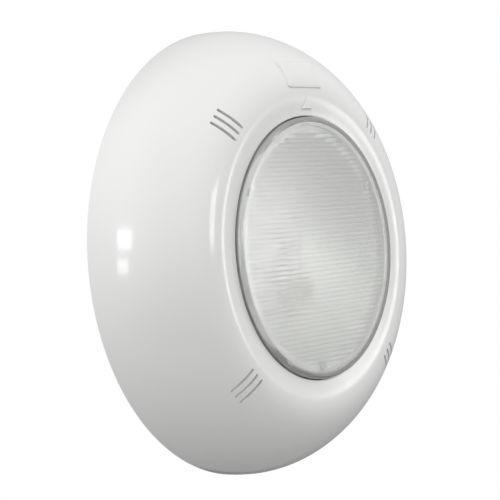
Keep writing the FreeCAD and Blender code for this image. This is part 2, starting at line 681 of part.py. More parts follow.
def reflector(doc):
    """Spun dish with a flat rim turned up at its edge, its centre hole and the lamp holder cut-out."""
    steps = 6
    floor, rim = size.dish_floor_radius.value, size.dish_rim_radius.value
    radii = [floor + (rim - floor) * i / steps for i in range(steps + 1)]
    face = [FreeCAD.Vector(r, 0, dish_curve(r)) for r in radii]
    curve = Part.BSplineCurve()
    curve.interpolate(face)
    dish = curve.toShape()
    flat = Part.LineSegment(FreeCAD.Vector(4.0, 0, dish_curve(floor)), face[0]).toShape()
    edge = Part.LineSegment(face[-1], FreeCAD.Vector(size.dish_flange.value, 0, face[-1].z)).toShape()
    skin = Part.Wire([flat, dish, edge])
    back = skin.copy()
    back.translate(FreeCAD.Vector(0, 0, -size.dish_sheet.value))
    ends = [Part.LineSegment(skin.Vertexes[i].Point, back.Vertexes[i].Point).toShape() for i in (0, -1)]
    section = Part.Face(Part.Wire(Part.__sortEdges__(skin.Edges + back.Edges + ends)))
    solid = section.revolve(FreeCAD.Vector(0, 0, 0), FreeCAD.Vector(0, 0, 1), 360)
    foot = FreeCAD.Vector(0, 0, size.dish_rim.value - size.dish_sheet.value)
    lip_height = size.dish_lip.value - foot.z
    lip = Part.makeCylinder(size.dish_flange.value, lip_height, foot)
    lip = lip.cut(Part.makeCylinder(size.dish_flange.value - size.dish_sheet.value, lip_height, foot))
    solid = solid.fuse(lip).removeSplitter()
    opening = Part.makeBox(size.holder_width.value + 2.0,
                           size.holder_high.value - size.holder_low.value + 4.0, 40.0,
                           FreeCAD.Vector(-size.holder_width.value / 2 - 1.0,
                                          size.holder_low.value - 2.0, size.cup_back.value))
    solid = solid.cut(opening)
    for across, up in round_positions(size.standoff_circle.value, 3, 30.0):
        hole = Part.makeCylinder(size.small_shank.value + 0.1, 10.0,
                                 FreeCAD.Vector(across, up, size.dish_rim.value - 5.0))
        solid = solid.cut(hole)
    obj = doc.addObject("Part::Feature", "reflector")
    obj.Shape = solid.Solids[0]
    obj.Placement = FRONT
    return node(obj, "reflector")


def reflector_fixings(doc):
    """Three standoffs on the body's ledge and the screws through the dish's rim."""
    standoffs, screws = [], []
    length = size.dish_rim - size.dish_sheet - size.ledge_face
    for i, (across, up) in enumerate(round_positions(size.standoff_circle, 3, 30.0)):
        post = rod(doc, "standoff%d_post" % i, size.standoff_radius, length, across, up, size.ledge_face)
        foot = rod(doc, "standoff%d_foot" % i, size.spigot_radius, size.spigot, across, up,
                   size.ledge_face - size.spigot)
        bore = rod(doc, "standoff%d_bore" % i, size.small_shank, 8.0, across, up,
                   size.dish_rim - size.dish_sheet - 8.0)
        standoffs.append(cut(doc, "standoff%d" % i, fuse(doc, "standoff%d_solid" % i, [post, foot]), bore))
        screws.append(screw(doc, "reflector_screw%d" % i, size.small_head, size.small_head_height,
                            size.small_shank, 7.0, across, up, size.dish_rim))
    group(doc, "reflector_standoffs", standoffs)
    group(doc, "reflector_screws", screws)


def upright(doc, name, radius, low, high, across, out):
    """A rod along the vertical."""
    turn = FreeCAD.Rotation(FreeCAD.Vector(1, 0, 0), -90)
    return rod(doc, name, radius, high - low, across, low, out, turn)


def lamp(doc):
    """Twin-pin halogen capsule, its ceramic holder and the steel strip that carries them."""
    half = size.holder_width / 2
    back = size.lamp_out - size.holder_depth / 2
    socket = block(doc, "holder_block", size.holder_width, size.holder_high - size.holder_low,
                   size.holder_depth, -half, size.holder_low, back)
    pins, sockets = [], []
    for i, side in enumerate((-0.5, 0.5)):
        across = size.pin_gap * side
        pins.append(upright(doc, "pin%d" % i, size.pin_radius, size.pin_low, size.pin_high, across,
                            size.lamp_out))
        sockets.append(upright(doc, "pin_socket%d" % i, size.pin_radius, size.pin_low, size.holder_high,
                               across, size.lamp_out))
    sockets.append(rod(doc, "holder_hole", size.small_shank, size.holder_depth, 0.0, size.holder_screw, back))
    node(cut(doc, "lamp_holder", socket, fuse(doc, "pin_sockets", sockets)), "lamp_holder")
    node(screw(doc, "holder_fixing_screw", size.small_head, size.small_head_height, size.small_shank,
               size.holder_depth + size.strip_thick, 0.0, size.holder_screw, back + size.holder_depth),
         "holder_fixing_screw")
    group(doc, "capsule_pins", pins)

    bulb = upright(doc, "bulb_tube", size.bulb_radius, size.bulb_low, size.bulb_high, 0.0, size.lamp_out)
    tip = doc.addObject("Part::Sphere", "bulb_tip")
    tip.Radius = size.bulb_radius.value
    bind(tip, "Radius", size.bulb_radius)
    place(tip, 0.0, size.bulb_high, size.lamp_out)
    pinch = block(doc, "bulb_pinch", size.pinch_width, size.bulb_low - size.pinch_low + 2.0,
                  size.pinch_thick, -size.pinch_width / 2, size.pinch_low,
                  size.lamp_out - size.pinch_thick / 2)
    hollow = upright(doc, "bulb_hollow", size.bulb_radius - 1.0, size.bulb_low + 2.0, size.bulb_high, 0.0,
                     size.lamp_out)
    holes = [upright(doc, "pin_hole%d" % i, size.pin_radius, size.pinch_low, size.pin_high,
                     size.pin_gap * side, size.lamp_out) for i, side in enumerate((-0.5, 0.5))]
    glass = fuse(doc, "bulb_solid", [bulb, tip, pinch])
    node(cut(doc, "capsule_glass", glass, fuse(doc, "bulb_space", [hollow] + holes)), "capsule_glass")
    coil = upright(doc, "filament_rod", size.coil_radius, size.coil_low, size.coil_high, 0.0, size.lamp_out)
    core = upright(doc, "filament_core", size.coil_radius * 0.5, size.coil_low, size.coil_high, 0.0,
                   size.lamp_out)
    node(cut(doc, "capsule_filament", coil, core), "capsule_filament")


def holder_strip(doc):
    """Bent steel strip from the body's back wall to the lamp holder, and its fixing screws."""
    body = new_body(doc, "holder_bracket")
    floor = size.cup_back + size.cup_wall
    top = size.lamp_out - size.holder_depth / 2
    low = size.holder_low + 2.0
    sketch = new_sketch(body, "Bend", "YZ_Plane", -size.strip_width / 2)
    polygon(sketch, [(size.strip_foot, floor), (low, floor), (low, top - size.strip_thick),
                     (size.holder_high, top - size.strip_thick), (size.holder_high, top),
                     (low - size.strip_thick, top), (low - size.strip_thick, floor + size.strip_thick),
                     (size.strip_foot, floor + size.strip_thick)])
    pad(body, sketch, "Strip", size.strip_width)
    hole = new_sketch(body, "Hole", "XY_Plane")
    rows = (size.strip_screw_low, size.strip_screw_high)
    for tag, up in zip("abc", rows + (size.holder_screw,)):
        circle(hole, size.small_shank, 0.0, up, tag)
    cut_through(body, hole, "HoleCut")
    node(body, "holder_bracket")
    screws = [screw(doc, "strip_screw%d" % i, size.small_head, size.small_head_height, size.small_shank,
                    size.strip_thick + size.blind_depth, 0.0, up, floor + size.strip_thick)
              for i, up in enumerate(rows)]
    group(doc, "holder_bracket_screws", screws)


def terminal_block(doc):
    """Two-pole porcelain block with its terminal screws."""
    floor = size.cup_back + size.cup_wall
    base = block(doc, "block_base", size.block_width, size.block_height, size.block_top - floor,
                 size.block_x - size.block_width / 2, size.block_y - size.block_height / 2, floor)
    wells, screws = [], []
    for i in range(4):
        across = size.block_x + size.pole_pitch * (0.5 if i % 2 else -0.5)
        up = size.block_y + (4.0 if i > 1 else -4.0)
        wells.append(rod(doc, "well%d" % i, size.pole_screw + 0.4, 4.0, across, up, size.block_top - 4.0))
        screws.append(rod(doc, "pole_screw%d" % i, size.pole_screw, 3.0, across, up, size.block_top - 4.0))
    ways = [upright(doc, "way%d" % i, size.lead_radius, size.block_y - size.block_height / 2 - 1.0,
                    size.block_y + size.block_height / 2 + 1.0,
                    size.block_x + size.pole_pitch * (0.5 if i else -0.5), size.lead_run) for i in (0, 1)]
    through = rod(doc, "block_through", size.small_shank, size.block_top - floor, size.block_x, size.block_y,
                  floor)
    hollow = fuse(doc, "block_hollow", wells + ways + [through])
    node(cut(doc, "terminal_block", base, hollow), "terminal_block")
    group(doc, "terminal_screws", screws)
    node(screw(doc, "terminal_block_screw", size.small_head, size.small_head_height, size.small_shank,
               size.block_top - floor + size.blind_depth, size.block_x, size.block_y, size.block_top),
         "terminal_block_screw")


def bent_tube(points, bend, radius):
    """A round tube along straight runs joined by tangent arcs of one bend radius."""
    edges = []
    start = points[0]
    for before, corner, after in zip(points, points[1:], points[2:]):
        back, ahead = (before - corner).normalize(), (after - corner).normalize()
        half = back.getAngle(ahead) / 2
        reach = bend / math.tan(half)
        first, last = corner + back * reach, corner + ahead * reach
        bisector = (back + ahead).normalize()
        middle = corner + bisector * (bend / math.sin(half) - bend)
        edges.append(Part.LineSegment(start, first).toShape())
        edges.append(Part.Arc(first, middle, last).toShape())
        start = last
    edges.append(Part.LineSegment(start, points[-1]).toShape())
    path = Part.Wire(edges)
    profile = Part.Wire(Part.Circle(points[0], points[1] - points[0], radius).toShape())
    tube = path.makePipeShell([profile], True, True)
    print("lead: length %.1f, volume %.1f, section times length %.1f" % (
        path.Length, tube.Volume, path.Length * math.pi * radius ** 2))
    return tube


def lamp_leads(doc):
    """Two insulated leads from the back of the lamp holder to the terminal block."""
    run = size.lead_run.value
    back = size.lamp_out.value - size.holder_depth.value / 2
    block_low = size.block_y.value - size.block_height.value / 2
    tubes = []
    for side, up in ((-0.5, size.lead_low.value), (0.5, size.lead_high.value)):
        pole = size.block_x.value + size.pole_pitch.value * side
        route = [(size.lead_exit.value, up, back), (size.lead_exit.value, up, run),
                 (pole, block_low - 16.0, run), (pole, block_low, run)]
        tubes.append(bent_tube([FreeCAD.Vector(*p) for p in route], size.lead_bend.value,
                               size.lead_radius.value))
    obj = doc.addObject("Part::Feature", "lamp_leads")
    obj.Shape = Part.makeCompound(tubes)
    obj.Placement = FRONT
    return node(obj, "lamp_leads")


# ---------------------------------------------------------------- build and write

def check(doc):
    """Stops on any failed feature and on any empty or invalid sub-part."""
    broken = [o.Name for o in doc.Objects if "Invalid" in o.State or "Error" in o.State]
    for obj in NODES:
        if obj.Shape.isNull() or not obj.Shape.isValid() or not obj.Shape.Solids:
            broken.append(obj.Label)
    if broken:
        raise RuntimeError("failed: " + ", ".join(broken))


def main():
    doc = FreeCAD.newDocument("pool_light")
    make_sheet(doc)
    wall_bracket(doc)
    lamp_body(doc)
    gland(doc)
    turned_node(doc, "lens_gasket", [
        (size.gasket_inner, size.flange_face), (size.gasket_outer, size.flange_face),
        (size.gasket_outer, lens_stack()[0]), (size.gasket_inner, lens_stack()[0])])
    lens(doc)
    clamp_ring(doc)
    clamp_fasteners(doc)
    reflector(doc)
    reflector_fixings(doc)
    lamp(doc)
    holder_strip(doc)
    terminal_block(doc)
    lamp_leads(doc)
    face_ring(doc)
    grommets(doc)
    doc.recompute()
    check(doc)
    os.makedirs("parts", exist_ok=True)
    for obj in NODES:
        shape = obj.Shape
        shape.exportStep(os.path.join("parts", obj.Label + ".step"))
        box = shape.BoundBox
        print("%-20s %d solids, volume %.0f, x %.1f..%.1f y %.1f..%.1f z %.1f..%.1f" % (
            obj.Label, len(shape.Solids), shape.Volume, box.XMin, box.XMax, box.YMin, box.YMax,
            box.ZMin, box.ZMax))


main()
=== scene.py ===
"""Looks of a surface-mounted underwater pool light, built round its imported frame.

Frame: the wall is the plane y = 0, the light looks along -Y and +Z is up. Profiles are written as
(radius, rise), where rise is the distance out of the wall. All sizes are in metres.
"""
import logging
import math
from dataclasses import dataclass, field
from enum import Enum
from typing import Iterable, Sequence

import bmesh
import bpy
import numpy as np
from bpy.types import Mesh, NodeSocket, NodeTree, Object
from mathutils import Matrix, Vector


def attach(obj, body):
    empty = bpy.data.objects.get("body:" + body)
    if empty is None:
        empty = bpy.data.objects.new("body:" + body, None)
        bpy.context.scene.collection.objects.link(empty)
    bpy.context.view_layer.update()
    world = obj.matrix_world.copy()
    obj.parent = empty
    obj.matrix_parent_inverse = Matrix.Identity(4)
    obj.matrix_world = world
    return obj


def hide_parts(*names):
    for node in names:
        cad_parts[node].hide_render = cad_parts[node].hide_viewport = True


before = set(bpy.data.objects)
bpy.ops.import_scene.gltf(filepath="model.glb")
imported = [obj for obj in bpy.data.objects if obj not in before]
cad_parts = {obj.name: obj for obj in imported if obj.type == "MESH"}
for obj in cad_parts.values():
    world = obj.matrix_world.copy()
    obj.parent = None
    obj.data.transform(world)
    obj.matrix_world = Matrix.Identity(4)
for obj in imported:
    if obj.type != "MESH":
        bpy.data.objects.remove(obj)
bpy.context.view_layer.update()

LOG = logging.getLogger("pool_light")
MM = 0.001
QUARTER = math.pi / 2
SMOOTH_ANGLE = math.radians(32.0)
MOTTLE_SIZE = 40 * MM
WEAR_SIZE = 9 * MM
COAT_ROUGHNESS = 0.06

Pair = tuple[float, float]
Triple = tuple[float, float, float]
Profile = list[Pair]


# ---- finishes


class Grain(Enum):
    """How the fine surface of a material was made."""

    MOULDED = "moulded"
    BRUSHED = "brushed"
    TURNED = "turned"
    MATT = "matt"
    CLEAR = "clear"


def wire(tree: NodeTree, kind: str, inputs: dict[str, object], output: str | int = 0,
         **settings: object) -> NodeSocket:
    """Adds a node to a tree.

    Args:
        tree: The node tree.
        kind: Type of the node.
        inputs: Value or socket for each input, by name or number.
        output: Which output to return.
        **settings: Properties of the node itself.

    Returns:
        The chosen output socket.
    """
    node = tree.nodes.new(kind)
    for name, value in settings.items():
        setattr(node, name, value)
    for name, value in inputs.items():
        socket = node.inputs[int(name)] if name.isdigit() else node.inputs[name]
        for item in value if isinstance(value, list) else [value]:
            if isinstance(item, NodeSocket):
                tree.links.new(item, socket)
            else:
                socket.default_value = item
    return node.outputs[output]


def map_range(tree: NodeTree, value: NodeSocket, edges: Pair, results: Pair,
              smooth: bool = False) -> NodeSocket:
    """Returns a value moved from the range edges to the range results, eased if smooth."""
    numbers = dict(zip(("From Min", "From Max", "To Min", "To Max"), (*edges, *results)))
    return wire(tree, "ShaderNodeMapRange", {"Value": value, **numbers}, "Result",
                interpolation_type="SMOOTHSTEP" if smooth else "LINEAR")


@dataclass(frozen=True)
class Finish:
    """One material, with the grain that its maker's process leaves.

    Attributes:
        name: Name of the material.
        slot: Name of the record's material slot; not used.
        colour: Linear base colour.
        roughness: Mean roughness.
        grain: How the fine surface was made.
        grain_size: Size of the fine grain.
        relief: Height of the fine grain.
        mottle: Share by which the colour varies over centimetres.
        tint: Colour that the mottling drifts to.
        metallic: Metal share.
        transmission: Share of light let through.
        ior: Index of refraction.
        coat: Weight of the clear top gloss.
    """

    name: str
    slot: str
    colour: Triple
    roughness: float
    grain: Grain
    grain_size: float = 0.8 * MM
    relief: float = 0.01 * MM
    mottle: float = 0.25
    tint: Triple = (0.5, 0.5, 0.48)
    metallic: float = 0.0
    transmission: float = 0.0
    ior: float = 1.5
    coat: float = 0.0

    def material(self) -> bpy.types.Material:
        """Returns this finish's material, made once."""
        found = bpy.data.materials.get(self.name)
        return found if found else self._build()

    def _build(self) -> bpy.types.Material:
        """Makes the node material."""
        material = bpy.data.materials.new(self.name)
        material.use_nodes = True
        tree = material.node_tree
        shader = tree.nodes["Principled BSDF"]
        constants = {"Metallic": self.metallic, "IOR": self.ior, "Transmission Weight": self.transmission,
                     "Coat Weight": self.coat, "Coat Roughness": COAT_ROUGHNESS,
                     "Base Color": (*self.colour, 1.0)}
        for name, value in constants.items():
            shader.inputs[name].default_value = value
        place = wire(tree, "ShaderNodeTexCoord", {}, "Object")
        if self.grain is not Grain.CLEAR:
            broad = self._noise(tree, place, MOTTLE_SIZE, 3.0)
            share = map_range(tree, broad, (0.42, 0.72), (0.0, self.mottle))
            blend = wire(tree, "ShaderNodeMix", {"A": (*self.colour, 1.0), "B": (*self.tint, 1.0),
                                                 "Factor": share}, "Result", data_type="RGBA")
            tree.links.new(blend, shader.inputs["Base Color"])
            tree.links.new(self._relief(tree, place), shader.inputs["Normal"])
        patch = self._noise(tree, place, WEAR_SIZE, 4.0)
        worn = map_range(tree, patch, (0.35, 0.65), (self.roughness * 0.8, self.roughness * 1.25))
        tree.links.new(worn, shader.inputs["Roughness"])
        return material

    def _relief(self, tree: NodeTree, place: NodeSocket) -> NodeSocket:
        """Returns the normal with the fine bump of the grain."""
        stretch = {Grain.BRUSHED: (0.06, 1.0, 1.0), Grain.TURNED: (1.0, 6.0, 1.0)}
        stretched = wire(tree, "ShaderNodeMapping", {"Vector": place,
                                                     "Scale": stretch.get(self.grain, (1.0, 1.0, 1.0))})
        fine = self._noise(tree, stretched, self.grain_size, 2.0)
        return wire(tree, "ShaderNodeBump", {"Strength": 1.0, "Distance": self.relief, "Height": fine},
                    "Normal")

    @staticmethod
    def _noise(tree: NodeTree, place: NodeSocket, size: float, detail: float) -> NodeSocket:
        """Returns the value of a noise texture whose cells have the given size."""
        return wire(tree, "ShaderNodeTexNoise", {"Vector": place, "Scale": 1 / size, "Detail": detail},
                    "Fac")


WHITE_ABS = Finish("white_abs_gloss", "white_abs", (0.80, 0.80, 0.79), 0.16, Grain.MOULDED, 2.2 * MM,
                   0.006 * MM, 0.05, (0.70, 0.70, 0.67), coat=0.3)
WHITE_ABS_BACK = Finish("white_abs_matt", "white_abs_back", (0.74, 0.74, 0.72), 0.45, Grain.MOULDED,
                        0.5 * MM, 0.02 * MM, 0.2, (0.62, 0.62, 0.58))
HOUSING_GREY = Finish("housing_polymer", "housing_grey", (0.62, 0.64, 0.60), 0.38, Grain.MOULDED,
                      0.5 * MM, 0.02 * MM, 0.25, (0.54, 0.56, 0.51))
GLAND_BLACK = Finish("gland_polyamide", "gland_black", (0.012, 0.012, 0.014), 0.42, Grain.MOULDED,
                     0.4 * MM, 0.02 * MM, 0.5, (0.03, 0.03, 0.03))
RUBBER = Finish("seal_rubber", "rubber_black", (0.010, 0.010, 0.010), 0.62, Grain.MATT, 0.3 * MM,
                0.02 * MM, 0.5, (0.03, 0.03, 0.03))
SILICONE = Finish("seal_silicone", "silicone_pale", (0.70, 0.70, 0.67), 0.5, Grain.MATT, 0.3 * MM,
                  0.02 * MM, 0.4, (0.60, 0.60, 0.55))
CLEAR_LENS = Finish("clear_polycarbonate", "clear_lens", (0.985, 0.995, 0.98), 0.16, Grain.CLEAR,
                    transmission=0.79, ior=1.58, coat=0.5)
QUARTZ = Finish("fused_quartz", "quartz", (0.99, 0.99, 1.0), 0.015, Grain.CLEAR, transmission=1.0,
                ior=1.46)
STAINLESS = Finish("stainless_steel", "stainless", (0.55, 0.55, 0.56), 0.28, Grain.BRUSHED, 0.15 * MM,
                   0.004 * MM, 0.3, (0.42, 0.42, 0.43), metallic=1.0)
BRASS = Finish("turned_brass", "brass_turned", (0.62, 0.42, 0.14), 0.25, Grain.TURNED, 0.2 * MM,
               0.004 * MM, 0.4, (0.42, 0.27, 0.09), metallic=1.0)
REFLECTOR_ALLOY = Finish("bright_anodised_alloy", "reflector_alloy", (0.92, 0.93, 0.90), 0.42,
                         Grain.BRUSHED, 0.5 * MM, 0.004 * MM, 0.2, (0.76, 0.77, 0.70), metallic=1.0)
STEATITE = Finish("unglazed_steatite", "steatite", (0.78, 0.74, 0.64), 0.55, Grain.MATT, 0.35 * MM,
                  0.03 * MM, 0.4, (0.62, 0.57, 0.47))
PIN_METAL = Finish("lamp_wire", "pin_metal", (0.38, 0.37, 0.36), 0.3, Grain.BRUSHED, 0.1 * MM, 0.003 * MM,
                   0.3, (0.25, 0.24, 0.23), metallic=1.0)
LEAD_SLEEVE = Finish("lead_sleeving", "lead_sleeve", (0.66, 0.64, 0.58), 0.6, Grain.MATT, 0.25 * MM,
                     0.04 * MM, 0.4, (0.50, 0.48, 0.42))


# ---- mesh making


def at(across: float, up: float, rise: float) -> Triple:
    """Returns the frame point at that place over the wall."""
    return (across, -rise, up)


def bezier(poles: Sequence[Pair], share: float) -> Pair:
    """Returns the point of a Bezier curve at the given share of its run."""
    row = [Vector(pole) for pole in poles]
    while len(row) > 1:
        row = [low.lerp(high, share) for low, high in zip(row, row[1:])]
    return row[0].x, row[0].y


def round_corner(centre: Pair, radius: float, start: float, end: float,
                 steps: int = 6) -> Profile:
    """Returns the points of a rounded corner.

    Args:
        centre: Centre of the round, as (radius, rise).
        radius: Radius of the round.
        start: First angle in degrees, 0 being outwards and 90 away from the wall.
        end: Last angle in degrees.
        steps: Number of spans.

    Returns:
        The points, both ends included.
    """
    angles = [math.radians(start + (end - start) * i / steps) for i in range(steps + 1)]
    return [(centre[0] + radius * math.cos(a), centre[1] + radius * math.sin(a)) for a in angles]


def rounded_box(half_width: float, half_height: float, corner: float, middle: float,
                spans: int) -> Profile:
    """Returns the outline of a box with rounded corners.

    Args:
        half_width: Half of its width.
        half_height: Half of its height.
        corner: Radius of its corners.
        middle: Height of its centre.
        spans: Number of spans in a corner.

    Returns:
        The points, as (across, up).
    """
    points = []
    for quarter, (side, way) in enumerate(((1, 1), (-1, 1), (-1, -1), (1, -1))):
        for step in range(spans + 1):
            angle = QUARTER * (quarter + step / spans)
            points.append((side * (half_width - corner) + corner * math.cos(angle),
                           middle + way * (half_height - corner) + corner * math.sin(angle)))
    return points


def even_angles(count: int) -> list[float]:
    """Returns count angles spread evenly round the axis."""
    return [2 * math.pi * i / count for i in range(count)]


@dataclass
class Draft:
    """Points and faces of a mesh while it is being drawn."""

    points: list[Triple] = field(default_factory=list)
    faces: list[tuple[int, ...]] = field(default_factory=list)

    def add(self, points: Iterable[Triple]) -> list[int]:
        """Adds points and returns their numbers."""
        start = len(self.points)
        self.points.extend(points)
        return list(range(start, len(self.points)))

    def ring(self, radius: float, rise: float, angles: Sequence[float],
             centre: Pair = (0.0, 0.0)) -> list[int]:
        """Adds one circle of points round the light's axis, or one point where the radius is 0."""
        if radius < 1e-7:
            return self.add([at(centre[0], centre[1], rise)]) * len(angles)
        return self.add(at(centre[0] + radius * math.cos(a), centre[1] + radius * math.sin(a), rise)
                        for a in angles)

    def band(self, low: Sequence[int], high: Sequence[int], closed: bool = True) -> None:
        """Joins two rows of points with faces."""
        count = len(low)
        for i in range(count if closed else count - 1):
            j = (i + 1) % count
            corners = list(dict.fromkeys((low[i], low[j], high[j], high[i])))
            if len(corners) > 2:
                self.faces.append(tuple(corners))

    def stack(self, rows: Sequence[Sequence[int]]) -> None:
        """Joins rows of points one after another and closes both ends."""
        for low, high in zip(rows, rows[1:]):
            self.band(low, high)
        self.faces += [tuple(rows[0]), tuple(rows[-1])]

    def lathe(self, profile: Profile, angles: Sequence[float], looped: bool = True,
              centre: Pair = (0.0, 0.0)) -> list[list[int]]:
        """Turns a profile round the light's axis, or round a line parallel to it.

        Args:
            profile: Points of (radius, rise).
            angles: The angles of the columns.
            looped: Whether the last point joins the first.
            centre: Where the turning axis meets the wall.

        Returns:
            The rings of point numbers.
        """
        rings = [self.ring(radius, rise, angles, centre) for radius, rise in profile]
        pairs = list(zip(rings, rings[1:])) + ([(rings[-1], rings[0])] if looped else [])
        for low, high in pairs:
            self.band(low, high)
        return rings

    def tube(self, line: Sequence[Vector], radius: float, sides: int) -> None:
        """Adds a closed tube along a line of points."""
        rows = []
        across = Vector((0.0, 0.0, 1.0))
        for i, point in enumerate(line):
            ahead = (line[min(i + 1, len(line) - 1)] - line[max(i - 1, 0)]).normalized()
            across = (across - ahead * across.dot(ahead)).normalized()
            side = ahead.cross(across)
            rows.append(self.add(tuple(point + (across * math.cos(a) + side * math.sin(a)) * radius)
                                 for a in even_angles(sides)))
        self.stack(rows)

    def piece(self, name: str, finish: Finish, smooth: bool = True,
              sharp: float = SMOOTH_ANGLE) -> Object:
        """Makes the object, with its faces pointing outwards.

        Args:
            name: Name of the piece.
            finish: Its finish.
            smooth: Whether it is shaded smooth.
            sharp: Angle above which an edge stays sharp.

        Returns:
            The new object, at the origin.
        """
        mesh = bpy.data.meshes.new(name)
        mesh.from_pydata(self.points, [], self.faces)
        bm = bmesh.new()
        bm.from_mesh(mesh)
        bmesh.ops.remove_doubles(bm, verts=bm.verts, dist=1e-7)
        bmesh.ops.recalc_face_normals(bm, faces=bm.faces)
        bm.to_mesh(mesh)
        bm.free()
        return show(name, mesh, finish, smooth, sharp)


def show(name: str, mesh: Mesh, finish: Finish, smooth: bool = True,
         sharp: float = SMOOTH_ANGLE) -> Object:
    """Puts a mesh in the scene as a finished piece."""
    mesh.materials.clear()
    mesh.materials.append(finish.material())
    if smooth:
        mesh.shade_smooth()
        mesh.set_sharp_from_angle(angle=sharp)
    piece = bpy.data.objects.new(name, mesh)
    bpy.context.scene.collection.objects.link(piece)
    return piece


def declare(piece: Object, body: str, finish: Finish, *nodes: str) -> Object:
    """Tells the frame what a piece rides on and which nodes it stands for."""
    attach(piece, body)
    if nodes:
        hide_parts(*nodes)
    LOG.info("%s: %d faces, rides on %s, stands for %s", piece.name, len(piece.data.polygons), body,
             ", ".join(nodes) or "nothing")
    return piece


# ---- geometry nodes


class NodePlan:
    """A Geometry Nodes tree with named inputs, written as a chain of nodes."""

    def __init__(self, name: str) -> None:
        """Starts an empty tree with a geometry input and output."""
        self.tree = bpy.data.node_groups.new(name, "GeometryNodeTree")
        face = self.tree.interface
        face.new_socket("Geometry", in_out="INPUT", socket_type="NodeSocketGeometry")
        face.new_socket("Geometry", in_out="OUTPUT", socket_type="NodeSocketGeometry")
        self.source = self.tree.nodes.new("NodeGroupInput")
        self.result = self.tree.nodes.new("NodeGroupOutput")
        self.values: dict[str, object] = {}

    def size(self, name: str, kind: str, value: object) -> NodeSocket:
        """Adds a named input with the value that the modifier will set, and returns its socket."""
        made = self.tree.interface.new_socket(name, in_out="INPUT", socket_type="NodeSocket" + kind)
        self.values[made.identifier] = value
        return self.source.outputs[name]

    def add(self, kind: str, inputs: dict[str, object], output: str | int = 0,
            **settings: object) -> NodeSocket:
        """Adds a node, whose type is a GeometryNode unless it says ShaderNode; see wire."""
        known = kind.startswith("ShaderNode")
        return wire(self.tree, kind if known else "GeometryNode" + kind, inputs, output, **settings)

    def vector(self, x: object = 0.0, y: object = 0.0, z: object = 0.0) -> NodeSocket:
        """Returns a vector made of three values or sockets."""
        return self.add("ShaderNodeCombineXYZ", {"X": x, "Y": y, "Z": z})

    def times(self, first: object, second: object) -> NodeSocket:
        """Returns the product of two values or sockets."""
        return self.add("ShaderNodeMath", {"0": first, "1": second}, operation="MULTIPLY")

    def round_axis(self, shape: NodeSocket, count: NodeSocket,
                   phase: NodeSocket) -> NodeSocket:
        """Repeats a shape evenly round the light's axis, turned by the phase."""
        points = self.add("Points", {"Count": count})
        step = self.add("ShaderNodeMath", {"0": -2 * math.pi, "1": count}, operation="DIVIDE")
        index = self.add("InputIndex", {})
        turn = self.add("ShaderNodeMath", {"0": index, "1": step, "2": phase}, operation="MULTIPLY_ADD")
        return self.add("InstanceOnPoints", {"Points": points, "Instance": shape,
                                             "Rotation": self.vector(y=turn)})

    def finish(self, shape: NodeSocket, material: NodeSocket) -> None:
        """Ends the tree in real geometry with one material."""
        solid = self.add("RealizeInstances", {"Geometry": shape})
        dressed = self.add("SetMaterial", {"Geometry": solid, "Material": material})
        self.tree.links.new(dressed, self.result.inputs["Geometry"])

    def bake(self, host: Object, name: str) -> Mesh:
        """Runs the tree on an object and returns the result as a plain mesh."""
        modifier = host.modifiers.new(name, "NODES")
        modifier.node_group = self.tree
        for identifier, value in self.values.items():
            modifier[identifier] = value
        graph = bpy.context.evaluated_depsgraph_get()
        graph.update()
        mesh = bpy.data.meshes.new_from_object(host.evaluated_get(graph))
        mesh.name = name
        host.modifiers.remove(modifier)
        return mesh


def repeat_round(name: str, pattern: Object, count: int, radius: float, phase: float,
                 finish: Finish) -> Object:
    """Repeats a pattern piece round the light's axis with Geometry Nodes.

    Args:
        name: Name of the finished piece.
        pattern: The piece to repeat, drawn on the light's axis. It is used up.
        count: How many there are.
        radius: Radius of their circle.
        phase: Angle of the first, from +X towards +Z.
        finish: Their finish.

    Returns:
        One object that holds them all.
    """
    plan = NodePlan(name)
    copies = plan.size("Copies", "Int", count)
    circle = plan.size("Circle radius", "Float", radius)
    start = plan.size("First angle", "Float", -phase)
    dress = plan.size("Finish", "Material", finish.material())
    moved = plan.add("Transform", {"Geometry": plan.source.outputs["Geometry"],
                                   "Translation": plan.vector(x=circle)})
    plan.finish(plan.round_axis(moved, copies, start), dress)
    mesh = plan.bake(pattern, name)
    bpy.data.objects.remove(pattern)
    return show(name, mesh, finish)


# ---- face ring


